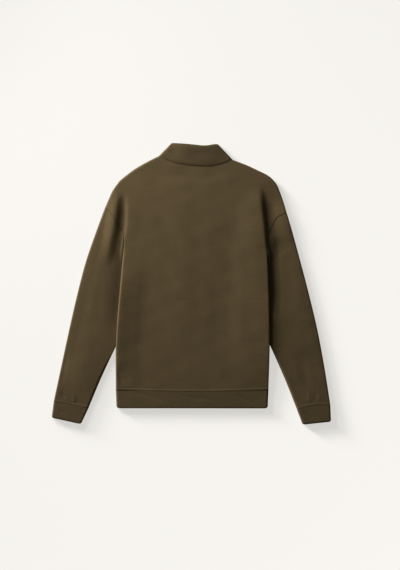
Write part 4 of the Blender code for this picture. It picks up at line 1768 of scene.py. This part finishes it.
@dataclass
class Collar(Garment):
    """A doubled strip round the neck, folded flat at both sides and open at the zip."""

    body_cut: Body = field(default_factory=Body)
    top_left: Spot = (-56.0, 394.0)
    top_right: Spot = (75.0, 390.4)
    front_drop: float = 69.0
    width: float = 206.0
    height: float = 50.0
    dip_run: float = 8.0
    seam_dip: float = 0.9
    seam_run: float = 2.4
    laid: float = 11.4
    swell_up: float = 6.8
    swell_power: float = 0.8
    roll: float = 5.0
    curl: float = 3.0
    columns: int = 76
    front_columns: int = 34
    steps: int = 6
    flat: Spot = (0.440, 0.056)

    def top(self, face: Face, share: Array) -> Pair:
        """Place on the collar's folded top edge.

        Args:
            face: The upper face or the one underneath.
            share: Shares of the way from left to right.

        Returns:
            Places across and places up.
        """
        (x0, y0), (x1, y1) = self.top_left, self.top_right
        if face is Face.UP:
            return lerp(x0, x1, share), lerp(y0, y1, share) - COLLAR_DIP.at(share)
        run = 0.5 - 0.5 * np.cos(math.pi * share)
        return lerp(x0, x1, run), lerp(y0, y1, run) - self.front_drop * np.sin(math.pi * share)

    def place(self, face: Face, share: Array, up: Array) -> Pair:
        """Place of each share of each row, seen from above.

        Args:
            face: The upper face or the one underneath.
            share: Shares of the way from left to right.
            up: Shares of the way from the neck seam to the folded edge.

        Returns:
            Places across and places up.
        """
        low_x, low_y = self.body_cut.neck(face, share)
        high_x, high_y = self.top(face, share)
        gap = SEAM / np.hypot(high_x - low_x, high_y - low_y)
        way = lerp(gap, 1.0, up)
        return lerp(low_x, high_x, way), lerp(low_y, high_y, way)

    def back_face(self, up: Array) -> Array:
        """The part that shows from above, from fold to fold.

        Args:
            up: Shares of the way from the neck seam to the folded edge.

        Returns:
            Its places, by row and column.
        """
        roll = np.full(len(up), self.roll / self.width)
        crossing = Crossing(roll, roll, self.columns, self.steps)
        share = crossing.shares()
        x, y = self.place(Face.UP, share, up[:, None])
        height = up[:, None] * self.height
        level = self.laid - self.seam_dip * bump_at(height, 0.0, self.seam_run)
        level = level + self.swell_up * up[:, None] ** self.swell_power * COLLAR_SWELL.at(x)
        level = level - FOLD_DIP * ease(height, self.height - self.dip_run, self.height) ** 2
        level = level + relief_of(COLLAR_CREASES, x, y)
        middle = np.full(len(up), MIDDLE)
        return np.dstack((x, y, crossing.height(level, middle, middle)))

    def front_side(self, up: Array, sign: int) -> Array:
        """The part underneath on one side, from its fold to the zip.

        Args:
            up: Shares of the way from the neck seam to the folded edge.
            sign: -1 for the left side and 1 for the right one.

        Returns:
            Its places, by row and column.
        """
        edge = ZIP_X + sign * ZIP_SLOT / 2
        run, rise = quarter(self.steps)
        curl = self.curl / self.width
        fine = np.linspace(*SLOT_SEARCH)
        all_x, _ = self.place(Face.DOWN, np.broadcast_to(fine, (len(up), len(fine))), up[:, None])
        stop = np.array([np.interp(edge, line, fine) for line in all_x])
        stop = (stop if sign < 0 else 1.0 - stop)[:, None]
        inside = np.linspace(0.0, 1.0, self.front_columns + 1)[1:]
        rolled = np.broadcast_to(curl * run, (len(up), len(run)))
        share = np.concatenate((rolled, curl + (stop - curl) * inside[None]), axis=1)
        rise = np.concatenate((rise, np.ones(self.front_columns)))
        x, y = self.place(Face.DOWN, share if sign < 0 else 1.0 - share, up[:, None])
        z = np.broadcast_to(MIDDLE * (1.0 - rise), x.shape)
        return np.dstack((x, y, z))

    def make(self, material: Material) -> Thing:
        """Make the collar.

        Args:
            material: Its finish.

        Returns:
            The object.
        """
        up = spread((0.0, 0.1, 0.82, 1.0), (0.014, 0.05, 0.018))
        left, right = self.front_side(up, -1), self.front_side(up, 1)
        back = self.back_face(up)
        strip = np.concatenate((left[:, :0:-1], back, right[:, 1:]), axis=1)
        wall = ClothWall("neck_collar", strip, BAND, strip.shape[1] // 2, fold_end=True)
        piece = wall.build(material)
        self.dress(piece, Slot.BAND, "collar")
        self.lay(piece, SheetFacts(self.flat, ("front_panel",), None, Held.FOLDED))
        return piece


@dataclass
class Overlock(Garment):
    """Overlocked seam allowances, pressed flat inside, that close every seam from within.

    narrow and narrowest are the shares of their width that are left at the armhole's two ends.
    """

    half_width: float = 3.4
    thick: float = 0.9
    below: float = 0.35
    lowest: float = 2.6
    at_bands: float = 7.0
    at_neck: float = 7.4
    past_corner: float = 21.0
    short_of_shoulder: float = 1.2
    narrow: float = 0.45
    narrowest: float = 0.25
    neck_span: tuple[float, float, int] = (0.06, 0.94, 50)
    hem_trim: float = 0.03
    cuff_trim: float = 0.1

    def ribbon(
        self, x: Array, y: Array, top: Callable[[Array, Array], Array], width: Array | float = 1.0
    ) -> ClothWall:
        """A strip along a line of places, with its top at a height given by place.

        Args:
            x: Places across of its middle line.
            y: Places up of it.
            top: Gives the height of its top at places across and up.
            width: Shares of its full width, by place along it.

        Returns:
            The strip's wall.
        """
        line = np.stack((x, y), axis=1)
        along = np.gradient(line, axis=0)
        along /= np.linalg.norm(along, axis=1, keepdims=True)
        side = np.stack((-along[:, 1], along[:, 0]), axis=1)
        across = np.linspace(-self.half_width, self.half_width, 5)
        across = across[None, :, None] * (width * np.ones(len(line)))[:, None, None]
        place = line[:, None] + side[:, None] * across
        height = top(place[:, :, 0], place[:, :, 1])
        return ClothWall("ribbon", np.dstack((place, height)), self.thick, 2)

    def armhole(self, half: Half, back: Body) -> ClothWall:
        """The strip inside one armhole seam.

        Args:
            half: The side of the garment.
            back: The body, for the height of its cloth.

        Returns:
            The strip's wall.
        """
        y = np.concatenate((
            np.linspace(half.corner - self.past_corner, half.corner, 9),
            np.linspace(half.corner + 3.0, half.overarm - self.short_of_shoulder, 40),
        ))
        x = half.edge_x(y) + half.sign * SEAM / 2
        under = CLOTH + max(half.seam_depths) + self.below

        def top(px: Array, py: Array) -> Array:
            """Height just under both cloths, at a seam, a folded edge or a tucked one.

            Args:
                px: Places across.
                py: Places up the garment.

            Returns:
                Heights, place by place.
            """
            middle = half.edge_x(y)
            tucked = lerp(back.level(middle, y), TUCKED, half.below_corner(y))[:, None]
            rolled = lerp(MIDDLE, back.level(px, py), arc((half.overarm - y) / back.roll)[:, None])
            return np.maximum(np.where((y > half.corner)[:, None], rolled, tucked) - under, self.lowest)

        width = lerp(self.narrow, 1.0, ease(y, half.corner, half.corner + 8.0))
        width = width * lerp(self.narrowest, 1.0, ease(y, half.overarm, half.overarm - 12.0))
        return self.ribbon(x, y, top, width)

    def line(self, start: Spot, end: Spot, bow: float, trim: float) -> ClothWall:
        """The strip inside the seam of a band.

        Args:
            start: One end of the seam.
            end: Its other end.
            bow: How far its middle bends up.
            trim: Share of the seam that it stops short of each end.

        Returns:
            The strip's wall.
        """
        share = np.linspace(trim, 1.0 - trim, 60)
        x, y = lerp(start[0], end[0], share), lerp(start[1], end[1], share)
        bowed = y + bow * np.sin(math.pi * share)
        return self.ribbon(x, bowed, lambda px, py: np.full(px.shape, self.at_bands))

    def neck(self, back: Body) -> ClothWall:
        """The strip inside the back of the neck."""
        x, y = back.neck(Face.UP, np.linspace(*self.neck_span))
        return self.ribbon(x, y, lambda px, py: np.full(px.shape, self.at_neck))

    def make(self, material: Material, back: Body) -> Thing:
        """Make all the strips as one object.

        Args:
            material: The jersey.
            back: The body, whose seams they close.

        Returns:
            The strips.
        """
        hem = Band()
        walls = [self.neck(back), self.line(*hem.seam, hem.bow, self.hem_trim)]
        for half in HALVES:
            walls.append(self.armhole(half, back))
            cuff = half.cuff
            walls.append(self.line(cuff.seam_outer, cuff.seam_inner, cuff.bow, self.cuff_trim))
        parts = [wall.parts() for wall in walls]
        places, faces = join([part[:2] for part in parts])
        marks = np.concatenate([part[2] for part in parts])
        piece = make_mesh("overlocked_seams", places, faces, material, marks)
        self.dress(piece, Slot.JERSEY)
        return piece


# --- zip ---


@dataclass
class Prism:
    """An outline seen from above, drawn out between two heights, with its edges eased."""

    outline: tuple[Spot, ...]
    low: float
    high: float
    ease_by: float = 0.25

    def rings(self) -> Array:
        """Four rings of places, from the lower face to the upper one.

        Returns:
            The places, ring by ring.
        """
        points = np.array(self.outline, dtype=float)
        before, after = np.roll(points, 1, axis=0), np.roll(points, -1, axis=0)
        chord = after - before
        length = np.maximum(np.linalg.norm(chord, axis=1, keepdims=True), 2e-6)
        normal = np.stack((-chord[:, 1], chord[:, 0]), axis=1) / length
        centre = points.mean(axis=0)
        toward_centre = np.sign(np.sum((centre - points) * normal, axis=1, keepdims=True))
        inner = points + normal * toward_centre * self.ease_by
        levels = (self.low, self.low + self.ease_by, self.high - self.ease_by, self.high)
        loops = (inner, points, points, inner)
        return np.stack([np.column_stack((loop, np.full(len(loop), z))) for loop, z in zip(loops, levels)])

    def solid(self) -> tuple[Array, Faces]:
        """Places and faces: the lower one, the upper one and those between.

        Returns:
            The places, and the faces as the numbers of their vertices.
        """
        count = len(self.outline)
        ends = [tuple(reversed(range(count))), tuple(range(3 * count, 4 * count))]
        return self.rings().reshape(-1, 3), ends + ring_faces(0, count, 3, count)


def build_prisms(name: str, prisms: list[Prism], material: Material) -> Thing:
    """Make one object from several prisms."""
    places, faces = join([prism.solid() for prism in prisms])
    return make_mesh(name, places, faces, material, sharp=METAL_SHARP)


def rounded(x0: float, y0: float, x1: float, y1: float, radius: float, steps: int = 4) -> tuple[Spot, ...]:
    """Outline of a rectangle with rounded corners.

    Args:
        x0: Left side.
        y0: Lower side.
        x1: Right side.
        y1: Upper side.
        radius: Radius of the corners.
        steps: Edges in each corner.

    Returns:
        The places all round.
    """
    centres = (
        (x1 - radius, y1 - radius, 0.0), (x0 + radius, y1 - radius, 90.0),
        (x0 + radius, y0 + radius, 180.0), (x1 - radius, y0 + radius, 270.0),
    )
    points: list[Spot] = []
    for cx, cy, start in centres:
        for step in range(steps + 1):
            turn = math.radians(start + 90.0 * step / steps)
            points.append((cx + radius * math.cos(turn), cy + radius * math.sin(turn)))
    return tuple(points)


def about_zip(side: tuple[Spot, ...]) -> tuple[Spot, ...]:
    """Outline on both sides of the zip's middle, from the places on its right side.

    Args:
        side: Places measured from the middle. One that lies on it isn't doubled.

    Returns:
        The places all round.
    """
    mirrored = tuple((-x, y) for x, y in reversed(side) if x > 0.0)
    return tuple((ZIP_X + x, y) for x, y in (*side, *mirrored))


@dataclass
class Zip(Garment):
    """Two toothed tapes inside the front, a slider near the top and its pull tab."""

    tape_width: float = 14.0
    tape_end: float = 8.0
    rise: Spot = (240.0, 256.0)
    parting: float = 1.6
    slider_y: float = 308.0
    slider_length: float = 12.0
    slider_width: float = 9.2
    slider_waist: float = 1.0
    plate: float = 0.8
    tape_length: float = 0.236
    cord: tuple[float, float, float] = (0.25, 0.9, 0.7)
    tooth_pitch: float = 2.6
    tooth_thick: float = 1.15
    tooth_reach: tuple[float, float, float] = (-1.15, -0.2, 2.2)
    tooth_below: float = 0.75
    tooth_above: float = 0.45
    first_tooth: float = 4.0
    stop_size: tuple[float, float, float] = (5.8, 2.3, 0.6)
    stop_up: float = 0.7
    ear: float = 0.8
    ear_half: float = 1.2
    pull_axis: Spot = (304.5, 0.9)
    pull_width: float = 6.2
    pull_length: float = 28.0
    pull_thick: float = 1.4
    pull_edge: float = 0.22
    eye: Spot = (1.7, 9.5)
    stitch_length: float = 2.6
    stitch_gap: float = 0.6
    stitch_top: float = 258.0
    stitch_end: float = 0.08
    stitch_mid: float = 0.22
    stitch_taper: float = 0.35
    stitch_heights: Spot = (0.14, 0.62)

    def tape_low(self, y: Array) -> Array:
        """Height of the tape's lower face: on the front panel, then on the collar."""
        return lerp(CLOTH, BAND, ease(y, *self.rise)) + SEAM

    def tape_edge(self, y: Array) -> Array:
        """Distance of the tape's toothed edge from the middle of the zip."""
        return SEAM / 2 + self.parting * ease(y, self.slider_y - 6.0, self.slider_y)

    def make_tape(self, sign: int, material: Material) -> Thing:
        """Make one tape, with a thicker cord at its toothed edge.

        Args:
            sign: -1 for the left tape and 1 for the right one.
            material: Its finish.

        Returns:
            The object.
        """
        y = spread((ZIP_BOTTOM - self.tape_end, ZIP_TOP), (2.0,))[:, None]
        across = np.array([0.0, 0.35, 0.9, 1.6, 2.6, 4.5, 7.0, 10.0, 12.4, 13.4, self.tape_width])[None]
        share = across / self.tape_width
        x = ZIP_X + sign * lerp(self.tape_edge(y), self.tape_width, share)
        thicker, middle, width = self.cord
        z = self.tape_low(y) - thicker * bump_at(across, middle, width)
        outer = np.stack((x, np.broadcast_to(y, x.shape), z), axis=2)
        name = SIDES[sign]
        piece = ClothWall(f"{name}_zip_tape", outer, TAPE, outer.shape[1] // 2, -1).build(material)
        self.dress(piece, Slot.TAPE, f"zip_tape_{name}")
        self.lay(piece, SheetFacts((self.tape_width * MM, self.tape_length), ("front_panel",)))
        return piece

    def make_teeth(self, sign: int, material: Material) -> Thing:
        """Make the row of teeth on one tape.

        Args:
            sign: -1 for the left tape and 1 for the right one.
            material: Its finish.

        Returns:
            The object.
        """
        prisms = []
        start = ZIP_BOTTOM + self.first_tooth + (self.tooth_pitch / 2 if sign > 0 else 0.0)
        for y in np.arange(start, ZIP_TOP - 1.5, self.tooth_pitch):
            if abs(y - self.slider_y) < self.slider_length / 2 + 0.6:
                continue
            edge = float(self.tape_edge(np.array(y)))
            head, neck, foot = (edge + reach for reach in self.tooth_reach)
            thick = self.tooth_thick / 2
            upper = ((foot, thick), (neck, thick * 0.8), (head + 0.35, thick), (head, thick * 0.7))
            profile = (*((away, -along) for away, along in reversed(upper)), *upper)
            outline = tuple((ZIP_X + sign * away, float(y) + along) for away, along in profile)
            low = float(self.tape_low(np.array(y)))
            prisms.append(Prism(outline, low - self.tooth_below, low + TAPE + self.tooth_above, 0.16))
        piece = build_prisms(f"{SIDES[sign]}_zip_teeth", prisms, material)
        self.dress(piece, Slot.METAL)
        return piece

    def make_stop(self, material: Material) -> Thing:
        """Make the clamp across both tapes at the bottom of the zip.

        Args:
            material: Its finish.

        Returns:
            The object.
        """
        wide, tall, radius = self.stop_size
        bottom = ZIP_BOTTOM + self.stop_up
        outline = rounded(ZIP_X - wide / 2, bottom, ZIP_X + wide / 2, bottom + tall, radius)
        clamp = Prism(outline, CLOTH - self.tooth_below, CLOTH + TAPE + 1.0)
        piece = build_prisms("zip_stop", [clamp], material)
        self.dress(piece, Slot.METAL)
        return piece

    def make_slider(self, material: Material) -> Thing:
        """Make the slider: two flared plates, the wedge between them, side flanges and ears.

        Args:
            material: Its finish.

        Returns:
            The object.
        """
        low = BAND + SEAM
        outer = (low - SEAM - self.plate, low - SEAM)
        inner = (low + TAPE + SEAM, low + TAPE + SEAM + self.plate)
        half = self.slider_width / 2
        waist = half - self.slider_waist
        y0, y1 = self.slider_y - self.slider_length / 2, self.slider_y + self.slider_length / 2
        plate = (
            (waist - 0.7, y0), (waist, y0 + 0.7), (waist, y0 + 5.0), (half, y0 + 8.5),
            (half, y1 - 1.6), (half - 0.6, y1 - 0.5), (half - 1.8, y1), (1.0, y1 - 0.5),
        )
        outline = about_zip((*plate, (0.0, y1 - 0.9)))
        prisms = [Prism(outline, *outer, 0.2), Prism(outline, *inner, 0.2)]
        wedge = about_zip(((0.0, y1 - 5.2), (1.1, y1 - 2.6), (0.9, y1 - 1.2), (0.0, y1 - 1.0)))
        prisms.append(Prism(wedge, outer[0] + 0.2, inner[1] - 0.2, 0.1))
        axis_y, axis_z = self.pull_axis
        ear_low = axis_z - self.pull_thick / 2
        for sign in (-1, 1):
            near = self.pull_width / 2 + SEAM
            left, right = sorted((ZIP_X + sign * near, ZIP_X + sign * (near + self.ear)))
            ear = rounded(left, axis_y - self.ear_half, right, axis_y + self.ear_half, 0.3)
            prisms.append(Prism(ear, ear_low, outer[1], 0.12))
            left, right = sorted((ZIP_X + sign * (waist - 0.1), ZIP_X + sign * (waist - 0.9)))
            flange = rounded(left, y0 + 1.0, right, y0 + 5.0, 0.3)
            prisms.append(Prism(flange, outer[1] - 0.2, low + 0.1, 0.1))
        piece = build_prisms("zip_slider_body", prisms, material)
        self.dress(piece, Slot.METAL, "zip_slider")
        return piece

    def make_pull(self, material: Material) -> Thing:
        """Make the pull tab: a tapered plate with an oblong eye and a raised rim.

        Args:
            material: Its finish.

        Returns:
            The object.
        """
        axis_y, axis_z = self.pull_axis
        low, high = axis_z - self.pull_thick / 2, axis_z + self.pull_thick / 2
        y0, y1 = axis_y + self.pull_thick / 2 - self.pull_length, axis_y + self.pull_thick / 2
        half = self.pull_width / 2
        outer = rounded(ZIP_X - half, y0, ZIP_X + half, y1, 1.5, 5)
        near, far = self.eye
        eye = rounded(ZIP_X - half + 1.5, y1 - far, ZIP_X + half - 1.5, y1 - near, 1.2, 5)
        count = len(outer)
        places: list[tuple[float, float, float]] = []
        inset = self.pull_edge
        for loop, toward in ((outer, inset), (eye, -inset)):
            centre_x, centre_y = ZIP_X, sum(point[1] for point in loop) / len(loop)
            for z, shift in ((low, toward), (low + inset, 0.0), (high - inset, 0.0), (high, toward)):
                for x, y in loop:
                    reach = math.hypot(x - centre_x, y - centre_y)
                    scale = 1.0 - shift / reach
                    places.append((centre_x + (x - centre_x) * scale, centre_y + (y - centre_y) * scale, z))
        around = 4 * count
        faces = ring_faces(0, count, 3, count) + ring_faces(around, count, 3, count)
        faces += ring_faces(0, count, 1, around) + ring_faces(3 * count, count, 1, around)
        piece = make_mesh("zip_pull_tab", np.array(places), faces, material, sharp=METAL_SHARP)
        self.dress(piece, Slot.METAL, "zip_pull", body="pull")
        return piece

    def make_stitches(self, material: Material) -> Thing:
        """Make the row of stitches that holds the tapes, beside and below the slot.

        Args:
            material: Its finish.

        Returns:
            The object.
        """
        left, right = ZIP_X - ZIP_SLOT / 2 - STITCH_AWAY, ZIP_X + ZIP_SLOT / 2 + STITCH_AWAY
        bottom, top = ZIP_BOTTOM - STITCH_AWAY, self.stitch_top
        path = ((left, top), (left, bottom), (right, bottom), (right, top))
        prisms = []
        pitch = self.stitch_length + self.stitch_gap
        long, end, mid = self.stitch_length, self.stitch_end, self.stitch_mid
        profile = (
            (0.0, -end), (self.stitch_taper, -mid), (long - self.stitch_taper, -mid), (long, -end),
            (long, end), (long - self.stitch_taper, mid), (self.stitch_taper, mid), (0.0, end),
        )
        for (x0, y0), (x1, y1) in zip(path, path[1:]):
            length = math.dist((x0, y0), (x1, y1))
            ux, uy = (x1 - x0) / length, (y1 - y0) / length
            count = int(length / pitch)
            for index in range(count):
                start = (index + 0.5) * length / count - long / 2
                outline = tuple(
                    (x0 + ux * (start + a) - uy * b, y0 + uy * (start + a) + ux * b) for a, b in profile
                )
                prisms.append(Prism(outline, *self.stitch_heights, 0.12))
        piece = build_prisms("zip_stitches", prisms, material)
        self.dress(piece, Slot.JERSEY)
        return piece


# --- studio ---


@dataclass
class Studio:
    """Cream floor, soft light from the upper left and a camera that looks straight down."""

    camera_place: tuple[float, float, float] = (0.024, -0.0025, 3.768)
    lens: float = 85.0
    sensor: float = 36.0
    sees: Spot = (0.05, 60.0)
    floor_half: float = 30.0
    floor_drop: float = 0.3
    key_height: float = 8.5
    key_turn: float = 142.0
    key_away: float = 10.0
    key_soft: float = 9.0
    key_power: float = 6.4
    fill_place: tuple[float, float, float] = (-1.12, 1.12, 0.60)
    fill_power: float = 47.0
    fill_size: float = 0.6
    all_round: float = 0.1

    def make_floor(self, material: Material) -> None:
        """Lay the floor, which isn't part of the object.

        Args:
            material: The ground's material.
        """
        mesh = bpy.data.meshes.new("floor")
        shape = bmesh.new()
        bmesh.ops.create_grid(shape, x_segments=8, y_segments=8, size=self.floor_half)
        shape.to_mesh(mesh)
        shape.free()
        mesh.materials.append(material)
        floor = bpy.data.objects.new("floor", mesh)
        floor.location.z = -self.floor_drop * MM
        bpy.context.scene.collection.objects.link(floor)

    def add_light(self, name: str, kind: str, place: tuple[float, float, float], **settings: Any) -> None:
        """Add one light that points at the origin.

        Args:
            name: The light's name.
            kind: The kind of light, as the program names it.
            place: Where it stands, in metres.
            settings: Its other settings, by name.
        """
        light = bpy.data.lights.new(name, kind)
        for key, value in settings.items():
            setattr(light, key, value)
        thing = bpy.data.objects.new(name, light)
        thing.location = place
        thing.rotation_euler = Vector(place).to_track_quat("Z", "Y").to_euler()
        bpy.context.scene.collection.objects.link(thing)

    def light(self) -> None:
        """Set a low soft key from the upper left, a wide fill above and a little light all round."""
        angles = (self.key_height, self.key_turn, self.key_soft)
        height, turn, soft = (math.radians(angle) for angle in angles)
        level = self.key_away * math.cos(height)
        place = (level * math.cos(turn), level * math.sin(turn), self.key_away * math.sin(height))
        self.add_light("key", "SUN", place, energy=self.key_power, angle=soft, color=(1.0, 0.99, 0.975))
        fill = {"energy": self.fill_power, "size": self.fill_size, "color": (1.0, 0.99, 0.98)}
        self.add_light("fill", "AREA", self.fill_place, **fill)
        world = bpy.data.worlds.new("studio")
        world.use_nodes = True
        sky = world.node_tree.nodes["Background"]
        sky.inputs["Color"].default_value = (1.0, 0.985, 0.965, 1.0)
        sky.inputs["Strength"].default_value = self.all_round
        bpy.context.scene.world = world
        bpy.context.scene.view_settings.view_transform = "Standard"

    def make_camera(self) -> None:
        """Put the camera straight above the garment."""
        data = bpy.data.cameras.new("camera")
        data.lens = self.lens
        data.sensor_width = self.sensor
        data.clip_start, data.clip_end = self.sees
        camera = bpy.data.objects.new("camera", data)
        camera.location = self.camera_place
        bpy.context.scene.collection.objects.link(camera)
        bpy.context.scene.camera = camera


def main() -> None:
    """Load the frame, and build and dress every piece."""
    logging.basicConfig(level=logging.INFO, format="%(message)s")
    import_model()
    jersey = KnitFinish("Heavy jersey", (0.0735, 0.0510, 0.0222)).make()
    rib = KnitFinish("Doubled jersey", (0.0684, 0.0476, 0.0209), wale=0.0014, course=0.0011).make()
    twill = TwillFinish("Zip tape weave", (0.050, 0.037, 0.020)).make()
    metal = MetalFinish("Dark plated metal", (0.16, 0.145, 0.125)).make()
    thread = ThreadFinish("Sewing thread", (0.080, 0.057, 0.028)).make()

    body = Body()
    body.make_back(jersey)
    body.make_front(jersey)
    for half in HALVES:
        Sleeve(half=half).make(jersey, body)
        cuff_of(half).make(rib)
    Band(creases=BAND_CREASES).make(rib)
    Collar().make(rib)
    Overlock().make(jersey, body)
    zip_parts = Zip()
    for sign in SIDES:
        zip_parts.make_tape(sign, twill)
    for sign in SIDES:
        zip_parts.make_teeth(sign, metal)
    zip_parts.make_stop(metal)
    zip_parts.make_slider(metal)
    zip_parts.make_pull(metal)
    zip_parts.make_stitches(thread)

    studio = Studio()
    studio.make_floor(GroundFinish("Cream paper", (0.93, 0.911, 0.872)).make())
    studio.light()
    studio.make_camera()


if __name__ == "__main__":
    main()
